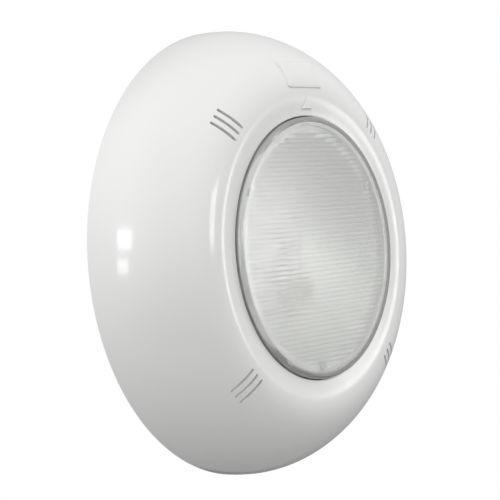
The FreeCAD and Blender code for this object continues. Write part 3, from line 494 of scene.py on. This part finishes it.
@dataclass
class FaceRing:
    """The white moulded ring: an arched shell round the lens with water slots and four posts."""

    body: str = "face_ring"
    radius: float = 145.0 * MM
    rim_rise: float = 0.5 * MM
    wall: float = 3.0 * MM
    rim_pull: float = 21.2 * MM
    shoulder: Pair = (143.1 * MM, 42.5 * MM)
    brow: Pair = (109.5 * MM, 74.6 * MM)
    crest: Pair = (102.2 * MM, 66.3 * MM)
    opening: float = 84.0 * MM
    opening_rise: float = 65.1 * MM
    lip_round: float = 0.8 * MM
    throat_back: float = 58.3 * MM
    throat_wall: float = 2.4 * MM
    throat_edge: float = 0.4 * MM
    root_drop: float = 1.5 * MM
    rim_edge: float = 0.5 * MM
    columns: int = 400
    rows: int = 72
    slot_start: float = 102.4 * MM
    slot_end: float = 120.0 * MM
    slot_width: float = 2.0 * MM
    slot_pitch: float = 5.4 * MM
    slot_rows: int = 3
    slot_groups: int = 4
    land_half_width: float = 17.5 * MM
    land_low: float = 102.0 * MM
    land_high: float = 119.5 * MM
    land_rises: Triple = (66.6 * MM, 64.2 * MM, 58.6 * MM)
    land_corner: float = 1.2 * MM
    least_corner: float = 0.15 * MM
    land_insets: Triple = (2.5 * MM, 5.5 * MM, 8.3 * MM)
    land_depth: float = 3.7 * MM
    edge_round: float = 0.5 * MM
    mark_width: float = 11.0 * MM
    mark_low: float = 88.5 * MM
    mark_high: float = 95.5 * MM
    mark_proud: float = 1.7 * MM
    mark_root: float = 3.0 * MM
    mark_bevel: float = 0.35 * MM
    post_circle: float = 111.4 * MM
    post_radius: float = 3.0 * MM
    post_tip: float = 42.0 * MM
    post_root: float = 59.5 * MM
    post_flare: float = 1.0 * MM
    post_flare_length: float = 4.0 * MM
    post_round: float = 1.2 * MM
    post_nose: float = 2.5 * MM

    def outer_curve(self, share: float) -> Pair:
        """Returns the (radius, rise) of the outside skin, from the rim (0) to the lip (1)."""
        poles = [(self.radius, self.rim_rise), (self.radius, self.rim_pull), self.shoulder, self.brow,
                 self.crest, (self.opening + self.lip_round, self.opening_rise)]
        return bezier(poles, share)

    def outward(self, share: float) -> Vector:
        """Returns the outward direction of the skin at that share, as (radius, rise)."""
        step = 1e-4
        low, high = self.outer_curve(max(share - step, 0.0)), self.outer_curve(min(share + step, 1.0))
        run = Vector((high[0] - low[0], high[1] - low[1])).normalized()
        return Vector((run.y, -run.x))

    def section(self) -> Profile:
        """Returns the closed half section of the shell."""
        shares = [i / self.rows for i in range(self.rows + 1)]
        skin = [self.outer_curve(s) for s in shares]
        lip_centre = (self.opening + self.lip_round, self.opening_rise - self.lip_round)
        lip = round_corner(lip_centre, self.lip_round, 90, 180)[1:]
        throat_outer = self.opening + self.throat_wall
        throat = [(self.opening, self.throat_back + self.throat_edge),
                  (self.opening + self.throat_edge, self.throat_back), (throat_outer, self.throat_back)]
        inside = []
        for share in shares:
            away = self.outward(share)
            radius, rise = self.outer_curve(share)
            spot = (radius - away.x * self.wall, rise - away.y * self.wall)
            if spot[0] > throat_outer + 1.0 * MM:
                inside.append(spot)
        root = [(throat_outer, self.opening_rise - self.wall - self.root_drop)]
        foot = [(inside[0][0], self.rim_rise), (self.radius - self.rim_edge, self.rim_rise)]
        skin[0] = (self.radius, self.rim_rise + self.rim_edge)
        return skin + lip + throat + root + inside[::-1][:-1] + foot

    def land(self) -> Object:
        """Makes the raised flat land at the top, arched with the shell and with rounded edges."""
        middle = (self.land_low + self.land_high) / 2
        half_height = (self.land_high - self.land_low) / 2
        first, centre, last = self.land_rises

        def crown(up: float) -> float:
            """Returns the rise of the land's top at that height."""
            place = (up - middle) / half_height
            return centre + (last - first) / 2 * place + ((first + last) / 2 - centre) * place ** 2

        def outline(inset: float) -> Profile:
            """Returns the rounded outline, drawn in by inset."""
            corner = max(self.land_corner - inset, self.least_corner)
            return rounded_box(self.land_half_width - inset, half_height - inset, corner, middle, 6)

        draft = Draft()
        rows = []
        for drop, inset in ((self.land_depth, 0.0), *self._edge_steps()):
            rows.append(draft.add(at(x, z, crown(z) - drop) for x, z in outline(inset)))
        for inset in self.land_insets:
            rows.append(draft.add(at(x, z, crown(z)) for x, z in outline(inset)))
        draft.stack(rows)
        return draft.piece("label_land", WHITE_ABS)

    def _edge_steps(self) -> Profile:
        """Returns the (drop, inset) pairs that round an upper edge."""
        steps = [math.radians(90 * i / 4) for i in range(5)]
        return [(self.edge_round * (1 - math.sin(a)), self.edge_round * (1 - math.cos(a)))
                for a in steps]

    def mark(self) -> Object:
        """Makes the plain raised triangle that shows which way is up."""
        top = self.opening_rise + self.mark_proud
        middle = (2 * self.mark_low + self.mark_high) / 3
        corners = [(-self.mark_width / 2, self.mark_low), (self.mark_width / 2, self.mark_low),
                   (0.0, self.mark_high)]
        draft = Draft()
        rows = []
        for scale, drop in ((1.0, self.mark_root), (1.0, self.mark_bevel), (0.9, 0.0)):
            rows.append(draft.add(at(x * scale, middle + (z - middle) * scale, top - drop)
                                  for x, z in corners))
        draft.stack(rows)
        return draft.piece("way_up_mark", WHITE_ABS, smooth=False)

    def cut_and_join(self, shell: Object, additions: list[Object]) -> Mesh:
        """Cuts the water slots out of the shell and joins the raised details to it.

        Args:
            shell: The turned shell.
            additions: Closed solids that become one with the shell.

        Returns:
            The finished mesh.
        """
        plan = NodePlan("water_slots")
        length = plan.size("Slot length", "Float", self.slot_end - self.slot_start)
        width = plan.size("Slot width", "Float", self.slot_width)
        pitch = plan.size("Slot pitch", "Float", self.slot_pitch)
        rows = plan.size("Slots in a group", "Int", self.slot_rows)
        groups = plan.size("Groups", "Int", self.slot_groups)
        middle = plan.size("Group radius", "Float", (self.slot_start + self.slot_end) / 2)
        start = plan.size("First angle", "Float", math.pi / 4)
        dress = plan.size("Finish", "Material", WHITE_ABS.material())
        outline = plan.add("CurvePrimitiveQuadrilateral", {"Width": length, "Height": width})
        rounded = plan.add("FilletCurve", {"Curve": outline, "Count": 8,
                                           "Radius": plan.times(width, 0.499)}, mode="POLY")
        depth = plan.add("CurvePrimitiveLine", {"Start": (0.0, 0.0, 0.0), "End": (0.0, -0.09, 0.0)})
        bar = plan.add("CurveToMesh", {"Curve": depth, "Profile Curve": rounded, "Fill Caps": True})
        first = plan.times(plan.times(pitch, -0.5),
                           plan.add("ShaderNodeMath", {"0": rows, "1": 1.0}, operation="SUBTRACT"))
        line = plan.add("MeshLine", {"Count": rows, "Start Location": plan.vector(x=middle, z=first),
                                     "Offset": plan.vector(z=pitch)})
        group = plan.add("InstanceOnPoints", {"Points": line, "Instance": bar})
        slots = plan.add("RealizeInstances", {"Geometry": plan.round_axis(group, groups, start)})
        solver = {"solver": "MANIFOLD"}
        cut = plan.add("MeshBoolean", {"Mesh 1": plan.source.outputs["Geometry"], "Mesh 2": slots},
                       operation="DIFFERENCE", **solver)
        parts = [plan.add("ObjectInfo", {"Object": plan.size(item.name, "Object", item)}, "Geometry")
                 for item in additions]
        whole = plan.add("MeshBoolean", {"Mesh 2": [cut, *parts]}, operation="UNION", **solver)
        plan.finish(whole, dress)
        return plan.bake(shell, "face_ring_shell")

    def true_normals(self, mesh: Mesh) -> None:
        """Gives corners on the outside skin its exact direction, so cuts leave no dents in the gloss."""
        shares = np.linspace(0.0, 1.0, 900)
        curve = np.array([self.outer_curve(s) for s in shares])
        away = np.array([self.outward(s) for s in shares])
        points = np.empty(len(mesh.vertices) * 3)
        mesh.vertices.foreach_get("co", points)
        points = points.reshape(-1, 3)
        radius, rise = np.hypot(points[:, 0], points[:, 2]), -points[:, 1]
        order = np.argsort(curve[:, 0])
        skin_rise = np.interp(radius, curve[order, 0], curve[order, 1])
        out_r = np.interp(radius, curve[order, 0], away[order, 0])
        out_h = np.interp(radius, curve[order, 0], away[order, 1])
        band = (radius > self.opening + 2 * MM) & (radius < self.radius - 6 * MM)
        on_skin = band & (np.abs(rise - skin_rise) < 0.06 * MM)
        scale = np.maximum(radius, 1e-9)
        exact = np.stack([points[:, 0] / scale * out_r, -out_h, points[:, 2] / scale * out_r], axis=1)
        corners = np.empty(len(mesh.loops), dtype=np.int64)
        mesh.loops.foreach_get("vertex_index", corners)
        faces = np.empty(len(mesh.polygons) * 3)
        mesh.polygons.foreach_get("normal", faces)
        totals = np.empty(len(mesh.polygons), dtype=np.int64)
        mesh.polygons.foreach_get("loop_total", totals)
        face_of = np.repeat(faces.reshape(-1, 3), totals, axis=0)
        wanted = exact[corners]
        good = on_skin[corners] & (np.einsum("ij,ij->i", wanted, face_of) > 0.97)
        mesh.normals_split_custom_set(np.where(good[:, None], wanted, 0.0).tolist())

    def posts(self) -> Object:
        """Makes the four press-in posts."""
        root, tip = self.post_root, self.post_tip
        profile = [(0.0, root), (self.post_radius + self.post_flare, root),
                   (self.post_radius, root - self.post_flare_length)]
        profile += [(self.post_radius, tip + self.post_nose)]
        centre = (self.post_radius - self.post_round, tip + self.post_round)
        profile += round_corner(centre, self.post_round, 0, -90)
        profile += [(0.0, tip)]
        draft = Draft()
        draft.lathe(profile, even_angles(32), looped=False)
        pattern = draft.piece("post_pattern", WHITE_ABS)
        return repeat_round("face_ring_posts", pattern, 4, self.post_circle, 0.0, WHITE_ABS)

    def build(self) -> None:
        """Builds the ring and its posts and dresses them."""
        draft = Draft()
        draft.lathe(self.section(), even_angles(self.columns))
        shell = draft.piece("shell_pattern", WHITE_ABS)
        additions = [self.land(), self.mark()]
        mesh = self.cut_and_join(shell, additions)
        for used in (shell, *additions):
            bpy.data.objects.remove(used)
        ring = show("face_ring_shell", mesh, WHITE_ABS)
        self.true_normals(mesh)
        declare(ring, self.body, WHITE_ABS, "bezel")
        declare(self.posts(), self.body, WHITE_ABS)


# ---- lens


@dataclass
class LensCover:
    """The clear cover: a shallow cup with a clamped flange and fine level flutes inside its face."""

    body: str = "lamp_unit"
    radius: float = 83.4 * MM
    face: float = 69.0 * MM
    wall: float = 3.2 * MM
    brow_round: float = 2.6 * MM
    inner_round: float = 1.6 * MM
    flange_radius: float = 95.0 * MM
    flange_back: float = 51.5 * MM
    flange_front: float = 54.5 * MM
    flange_edge: float = 0.4 * MM
    flange_root: float = 0.5 * MM
    flute_radius: float = 75.2 * MM
    flute_pitch: float = 2.9 * MM
    flute_height: float = 0.22 * MM
    flute_ledge: float = 0.05 * MM
    flute_steps: int = 8
    least_gap: float = 0.12
    valley_angle: float = 30.0
    round_steps: int = 240
    gate_radius: float = 2.2 * MM
    gate_height: float = 0.12 * MM
    gate_rim: float = 1.03

    def flute_drop(self, up: float) -> float:
        """Returns how far the flutes stand in from the inner face at that height."""
        place = (up / self.flute_pitch) % 1.0 * 2 - 1
        bulge = self.flute_pitch / 2
        arc = (bulge ** 2 + self.flute_height ** 2) / (2 * self.flute_height)
        return math.sqrt(arc ** 2 - (place * bulge) ** 2) - (arc - self.flute_height)

    def levels(self) -> list[float]:
        """Returns the heights of the rows that carry the flutes and a smooth round edge."""
        step = self.flute_pitch / self.flute_steps
        count = int(self.flute_radius / step)
        levels = {round(i * step, 7) for i in range(-count, count + 1)}
        gap = self.least_gap * step
        for angle in np.linspace(-QUARTER, QUARTER, self.round_steps // 2 + 1):
            up = self.flute_radius * math.sin(angle)
            if abs(up - round(up / step) * step) > gap:
                levels.add(round(up, 7))
        levels |= {-self.flute_radius, self.flute_radius}
        return sorted(levels)

    def outer_section(self) -> Profile:
        """Returns the outside from the middle of the face to the inner end of the flange."""
        brow = round_corner((self.radius - self.brow_round, self.face - self.brow_round),
                            self.brow_round, 90, 0, 8)
        edge, root = self.flange_edge, self.flange_root
        foot = [(self.radius, self.flange_front + root), (self.radius + root, self.flange_front),
                (self.flange_radius - edge, self.flange_front),
                (self.flange_radius, self.flange_front - edge),
                (self.flange_radius, self.flange_back + edge),
                (self.flange_radius - edge, self.flange_back),
                (self.radius - self.wall, self.flange_back)]
        gate = [(self.gate_radius * share, self.face - self.gate_height * (1 - share ** 2))
                for share in (0.0, 0.25, 0.5, 0.75, 1.0)]
        gate.append((self.gate_radius * self.gate_rim, self.face))
        return gate + [(self.flute_radius, self.face)] + brow + foot

    def inner_section(self) -> Profile:
        """Returns the inside from the flange to the ledge round the flutes."""
        inner, back = self.radius - self.wall, self.face - self.wall
        centre = (inner - self.inner_round, back - self.inner_round)
        round_in = round_corner(centre, self.inner_round, 0, 90)
        return [*round_in, (self.flute_radius + self.flute_ledge, back)]

    def build(self) -> None:
        """Builds the cover and dresses it."""
        levels = self.levels()
        right = [math.asin(max(-1.0, min(1.0, up / self.flute_radius))) for up in levels]
        left = [math.pi - angle for angle in right[::-1]][1:-1]
        angles = right + left
        draft = Draft()
        rings = draft.lathe(self.outer_section() + self.inner_section(), angles, looped=False)
        back = self.face - self.wall
        edge = draft.add(at(self.flute_radius * math.cos(a), self.flute_radius * math.sin(a),
                            back - self.flute_drop(self.flute_radius * math.sin(a))) for a in angles)
        draft.band(rings[-1], edge)
        last = len(levels) - 1
        mirror = [edge[0]] + [edge[2 * last - i] for i in range(1, last)] + [edge[last]]
        draft.band(edge[:last + 1], mirror, closed=False)
        cover = draft.piece("lens_cover", CLEAR_LENS, sharp=math.radians(self.valley_angle / 2))
        declare(cover, self.body, CLEAR_LENS, "lens")


# ---- optics and lamp


@dataclass
class Optics:
    """The faceted bright reflector and the lamp's filament."""

    body: str = "lamp_unit"
    floor: float = 36.0 * MM
    floor_radius: float = 18.0 * MM
    hole_radius: float = 4.0 * MM
    rim: float = 61.0 * MM
    rim_radius: float = 72.5 * MM
    flange_radius: float = 79.4 * MM
    lip: float = 64.6 * MM
    sheet: float = 1.0 * MM
    curve_power: float = 1.6
    facet_columns: int = 36
    facet_rows: int = 6
    facet_bulge: float = 0.35 * MM
    facet_steps: int = 4
    opening_half: float = 11.0 * MM
    opening_low: float = -38.0 * MM
    opening_high: float = -18.0 * MM
    opening_corner: float = 2.0 * MM
    opening_rises: Pair = (20.0 * MM, 70.0 * MM)
    facet_edge: float = math.radians(12.0)
    lamp_rise: float = 45.0 * MM
    coil_radius: float = 1.25 * MM
    coil_wire: float = 0.14 * MM
    coil_low: float = -2.4 * MM
    coil_high: float = 7.4 * MM
    coil_turns: int = 16
    coil_steps: int = 14

    def dish(self, radius: float) -> float:
        """Returns the rise of the dish at that radius."""
        share = (radius - self.floor_radius) / (self.rim_radius - self.floor_radius)
        return self.floor + (self.rim - self.floor) * max(share, 0.0) ** self.curve_power

    def reflector(self) -> Object:
        """Makes the spun and pressed dish, whose facets are slightly pillowed."""
        draft = Draft()
        columns = even_angles(self.facet_columns * self.facet_steps)
        lines = self.facet_rows * self.facet_steps
        front: list[list[int]] = [draft.ring(self.hole_radius, self.floor, columns),
                                  draft.ring(self.floor_radius * 0.9, self.floor, columns)]
        for line in range(lines + 1):
            radius = self.floor_radius + (self.rim_radius - self.floor_radius) * line / lines
            across_row = math.sin(math.pi * line / self.facet_steps) ** 2
            points = []
            for i, angle in enumerate(columns):
                across_column = math.sin(math.pi * i / self.facet_steps) ** 2
                rise = self.dish(radius) + self.facet_bulge * math.sqrt(across_row * across_column)
                points.append(at(radius * math.cos(angle), radius * math.sin(angle), rise))
            front.append(draft.add(points))
        inside = self.flange_radius - self.sheet
        front += [draft.ring(radius, rise, columns) for radius, rise in
                  ((inside, self.rim), (inside, self.lip), (self.flange_radius, self.lip))]
        back = [draft.ring(self.flange_radius, self.rim - self.sheet, columns)]
        spans = self.facet_rows * 2
        for line in range(spans, -1, -1):
            radius = self.floor_radius + (self.rim_radius - self.floor_radius) * line / spans
            back.append(draft.ring(radius, self.dish(radius) - self.sheet, columns))
        back.append(draft.ring(self.hole_radius, self.floor - self.sheet, columns))
        rings = front + back
        for low, high in zip(rings, rings[1:] + rings[:1]):
            draft.band(low, high)
        dish = draft.piece("reflector_dish", REFLECTOR_ALLOY)
        self._cut_opening(dish)
        return dish

    def _cut_opening(self, dish: Object) -> None:
        """Cuts the rounded window for the lamp holder out of the dish."""
        middle = (self.opening_low + self.opening_high) / 2
        half = (self.opening_high - self.opening_low) / 2
        outline = rounded_box(self.opening_half, half, self.opening_corner, middle, 4)
        draft = Draft()
        draft.stack([draft.add(at(x, z, rise) for x, z in outline) for rise in self.opening_rises])
        tool = draft.piece("window_tool", REFLECTOR_ALLOY)
        cut = dish.modifiers.new("window", "BOOLEAN")
        cut.operation, cut.solver, cut.object = "DIFFERENCE", "MANIFOLD", tool
        graph = bpy.context.evaluated_depsgraph_get()
        mesh = bpy.data.meshes.new_from_object(dish.evaluated_get(graph))
        dish.modifiers.remove(cut)
        dish.data = mesh
        mesh.set_sharp_from_angle(angle=self.facet_edge)
        bpy.data.objects.remove(tool)

    def filament(self) -> Object:
        """Makes the coiled filament, level with the capsule's axis."""
        steps = self.coil_steps * self.coil_turns
        line = []
        for i in range(steps + 1):
            turn = 2 * math.pi * i / self.coil_steps
            up = self.coil_low + (self.coil_high - self.coil_low) * i / steps
            line.append(Vector(at(self.coil_radius * math.cos(turn), up,
                                  self.lamp_rise + self.coil_radius * math.sin(turn))))
        draft = Draft()
        draft.tube(line, self.coil_wire, 6)
        return draft.piece("filament_coil", PIN_METAL)

    def build(self) -> None:
        """Builds the reflector and the filament and dresses them."""
        declare(self.reflector(), self.body, REFLECTOR_ALLOY, "reflector")
        declare(self.filament(), self.body, PIN_METAL, "capsule_filament")


# ---- screws


@dataclass(frozen=True)
class ScrewRing:
    """Equal screws set on one circle, with their heads away from the wall."""

    name: str
    node: str
    count: int
    circle: float
    phase: float
    seat: float
    head_radius: float
    head_height: float
    shank_radius: float
    length: float
    socket: float
    thread_pitch: float = 1.0 * MM
    head_edge: float = 0.1 * MM
    thread_start: float = 0.5 * MM
    plain_end: float = 1.0 * MM
    point: float = 0.3 * MM
    body: str = "lamp_unit"

    def pattern(self) -> Object:
        """Makes one pan-head screw with a hexagon socket and a threaded shank."""
        top = self.seat + self.head_height
        columns = even_angles(48)
        draft = Draft()
        depth = self.head_height * 0.6
        walls = []
        for rise in (top, top - depth):
            reach = [self.socket / math.cos((a + math.pi / 6) % (math.pi / 3) - math.pi / 6)
                     for a in columns]
            walls.append(draft.add(at(r * math.cos(a), r * math.sin(a), rise)
                                   for r, a in zip(reach, columns)))
        draft.band(*walls)
        draft.faces.append(tuple(walls[1]))
        edge = self.head_height * 0.35
        outside = [(self.head_radius - edge, top)]
        outside += round_corner((self.head_radius - edge, top - edge), edge, 90, 0, 5)[1:]
        outside += [(self.head_radius, self.seat + self.head_edge),
                    (self.head_radius - self.head_edge, self.seat)]
        outside += self._shank()
        rings = draft.lathe(outside, columns, looped=False)
        draft.band(walls[0], rings[0])
        return draft.piece(self.name + "_pattern", STAINLESS)

    def _shank(self) -> Profile:
        """Returns the shank's profile with its thread ridges."""
        core = self.shank_radius * 0.82
        turns = int((self.length - self.plain_end) / self.thread_pitch)
        points = [(core, self.seat)]
        for turn in range(turns):
            foot = self.seat - self.thread_start - turn * self.thread_pitch
            points += [(core, foot), (self.shank_radius, foot - self.thread_pitch * 0.35),
                       (core, foot - self.thread_pitch * 0.7)]
        end = self.seat - self.length
        return points + [(core, end + self.point), (core - self.point, end), (0.0, end)]

    def build(self) -> None:
        """Builds the whole circle of screws and dresses it."""
        screws = repeat_round(self.name, self.pattern(), self.count, self.circle, self.phase, STAINLESS)
        declare(screws, self.body, STAINLESS, self.node)


# ---- kept frame nodes


@dataclass
class KeptNodes:
    """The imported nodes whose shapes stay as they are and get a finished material."""

    finishes: dict[str, Finish] = field(default_factory=lambda: {
        "wall_bracket": WHITE_ABS_BACK, "lamp_body": HOUSING_GREY, "clamp_ring": HOUSING_GREY,
        "gland_body": GLAND_BLACK, "gland_locknut": GLAND_BLACK, "gland_nut": GLAND_BLACK,
        "gland_o_ring": RUBBER, "gland_seal": RUBBER, "lens_gasket": SILICONE, "bezel_grommets": RUBBER,
        "clamp_inserts": BRASS, "reflector_standoffs": BRASS, "terminal_screws": BRASS,
        "holder_fixing_screw": STAINLESS, "holder_bracket": STAINLESS,
        "holder_bracket_screws": STAINLESS, "terminal_block_screw": STAINLESS,
        "lamp_holder": STEATITE, "terminal_block": STEATITE, "capsule_pins": PIN_METAL,
        "capsule_glass": QUARTZ, "lamp_leads": LEAD_SLEEVE})

    def dress(self) -> None:
        """Gives each kept node its material."""
        for name, finish in self.finishes.items():
            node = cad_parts[name]
            node.data.materials.clear()
            node.data.materials.append(finish.material())
            LOG.info("%s: kept, finished in %s", name, finish.name)


# ---- studio


@dataclass(frozen=True)
class Softbox:
    """A rectangular studio lamp aimed at the light.

    Attributes:
        name: Name of the lamp.
        azimuth: Direction it stands in, in degrees, 0 in front and positive to the right.
        elevation: Height above the horizon, in degrees.
        distance: Distance from the middle of the light.
        size: Width and height.
        power: Power in watts.
    """

    name: str
    azimuth: float
    elevation: float
    distance: float
    size: Pair
    power: float

    def build(self, aim: Vector) -> None:
        """Sets the lamp up, aimed at the given point."""
        data = bpy.data.lights.new(self.name, "AREA")
        data.shape = "RECTANGLE"
        data.size, data.size_y = self.size
        data.energy = self.power
        lamp = bpy.data.objects.new(self.name, data)
        back = direction(self.azimuth, self.elevation)
        lamp.matrix_world = (Matrix.Translation(aim + back * self.distance)
                             @ back.to_track_quat("Z", "Y").to_matrix().to_4x4())
        bpy.context.scene.collection.objects.link(lamp)


@dataclass(frozen=True)
class Glow:
    """A broad bright patch of the surroundings, from edge, a cosine, inwards."""

    azimuth: float
    elevation: float
    strength: float
    edge: float = 0.2


def direction(azimuth: float, elevation: float) -> Vector:
    """Returns the unit vector towards an azimuth and an elevation in degrees."""
    a, e = math.radians(azimuth), math.radians(elevation)
    return Vector((math.sin(a) * math.cos(e), -math.cos(a) * math.cos(e), math.sin(e)))


@dataclass
class Studio:
    """White surroundings, pale floor, soft lamps and the camera."""

    azimuth: float = -52.95
    elevation: float = 0.97
    roll: float = -4.42
    distance: float = 1.099
    lens: float = 125.0
    aim: Vector = field(default_factory=lambda: Vector((-0.03017, -0.035, 0.00189)))
    floor_drop: float = 0.6
    floor_radius: float = 0.8
    base_edges: Pair = (-0.3, 0.3)
    base_light: Pair = (0.04, 0.30)
    glows: tuple[Glow, ...] = (Glow(-120.0, 12.0, 0.66, 0.3), Glow(-60.0, 45.0, 0.66, 0.2),
                               Glow(25.0, 20.0, 0.45, 0.2), Glow(80.0, 15.0, 0.45, 0.2),
                               Glow(50.0, -0.5, 4.0, 0.9945))
    lamps: tuple[Softbox, ...] = (
        Softbox("left_window_top", -91.0, 10.4, 2.2, (0.60, 0.34), 3.8),
        Softbox("left_window_low", -94.0, -1.6, 2.2, (0.45, 0.24), 1.9),
        Softbox("front_window", 14.0, 8.0, 2.2, (0.45, 0.55), 3.4),
    )

    def world(self) -> None:
        """Makes white surroundings: an even base, brighter above, with broad soft glows."""
        world = bpy.data.worlds.new("studio")
        bpy.context.scene.world = world
        world.use_nodes = True
        tree = world.node_tree
        white = (1.0, 1.0, 1.0, 1.0)
        toward = wire(tree, "ShaderNodeTexCoord", {}, "Generated")
        total = self._share(tree, toward, Vector((0.0, 0.0, 1.0)), self.base_edges, self.base_light)
        for glow in self.glows:
            spot = direction(glow.azimuth, glow.elevation)
            more = self._share(tree, toward, spot, (glow.edge, 1.0), (0.0, glow.strength))
            total = wire(tree, "ShaderNodeMath", {"0": total, "1": more}, operation="ADD")
        light = wire(tree, "ShaderNodeBackground", {"Color": white, "Strength": total})
        seen = wire(tree, "ShaderNodeBackground", {"Color": white, "Strength": 1.0})
        ray = wire(tree, "ShaderNodeLightPath", {}, "Is Camera Ray")
        choose = wire(tree, "ShaderNodeMixShader", {"Fac": ray, "1": light, "2": seen})
        tree.links.new(choose, tree.nodes["World Output"].inputs["Surface"])

    @staticmethod
    def _share(tree: NodeTree, toward: NodeSocket, spot: Vector, edges: Pair,
               strengths: Pair) -> NodeSocket:
        """Returns a light strength that rises smoothly towards one direction.

        Args:
            tree: The world's node tree.
            toward: Direction of the ray.
            spot: The brightest direction.
            edges: Cosines between which the strength rises.
            strengths: The strengths at those edges.

        Returns:
            The strength.
        """
        along = wire(tree, "ShaderNodeVectorMath", {"0": toward, "1": spot}, "Value",
                     operation="DOT_PRODUCT")
        return map_range(tree, along, edges, strengths, smooth=True)

    def floor(self) -> None:
        """Lays a round pale floor well below the light."""
        draft = Draft()
        spots = [(self.floor_radius * math.cos(a), self.floor_radius * math.sin(a), -self.floor_drop)
                 for a in even_angles(96)]
        draft.faces.append(tuple(draft.add(spots)))
        pale = Finish("pale_floor", "none", (0.34, 0.34, 0.33), 0.7, Grain.MATT, grain_size=4 * MM,
                      relief=0.05 * MM, mottle=0.1, tint=(0.28, 0.28, 0.27))
        draft.piece("studio_floor", pale, smooth=False)

    def camera(self) -> None:
        """Places the camera, rolled a little about its line of sight."""
        back = direction(self.azimuth, self.elevation)
        a = math.radians(self.azimuth)
        right = Vector((math.cos(a), math.sin(a), 0.0))
        up = back.cross(right)
        turn = math.radians(self.roll)
        rolled_right = right * math.cos(turn) + up * math.sin(turn)
        rolled_up = up * math.cos(turn) - right * math.sin(turn)
        data = bpy.data.cameras.new("camera")
        data.lens = self.lens
        data.clip_start, data.clip_end = 0.05, 20.0
        camera = bpy.data.objects.new("camera", data)
        spot = self.aim + back * self.distance
        axes = Matrix((rolled_right, rolled_up, back)).transposed().to_4x4()
        camera.matrix_world = Matrix.Translation(spot) @ axes
        bpy.context.scene.collection.objects.link(camera)
        bpy.context.scene.camera = camera

    def build(self) -> None:
        """Sets up the whole studio."""
        self.world()
        self.floor()
        self.camera()
        for lamp in self.lamps:
            lamp.build(self.aim)
        bpy.context.scene.view_settings.view_transform = "Standard"


def main() -> None:
    """Builds every sub-assembly in order."""
    logging.basicConfig(level=logging.INFO, format="%(name)s: %(message)s")
    KeptNodes().dress()
    FaceRing().build()
    LensCover().build()
    Optics().build()
    ScrewRing("clamp_ring_screws", "clamp_screws", 8, 99.8 * MM, 0.0, 51.5 * MM, 3.6 * MM, 2.4 * MM,
              2.0 * MM, 10.0 * MM, 1.6 * MM).build()
    ScrewRing("reflector_rim_screws", "reflector_screws", 3, 75.6 * MM, math.radians(30.0), 61.0 * MM,
              2.7 * MM, 1.8 * MM, 1.5 * MM, 7.0 * MM, 1.2 * MM, thread_pitch=0.7 * MM).build()
    Studio().build()


if __name__ == "__main__":
    main()
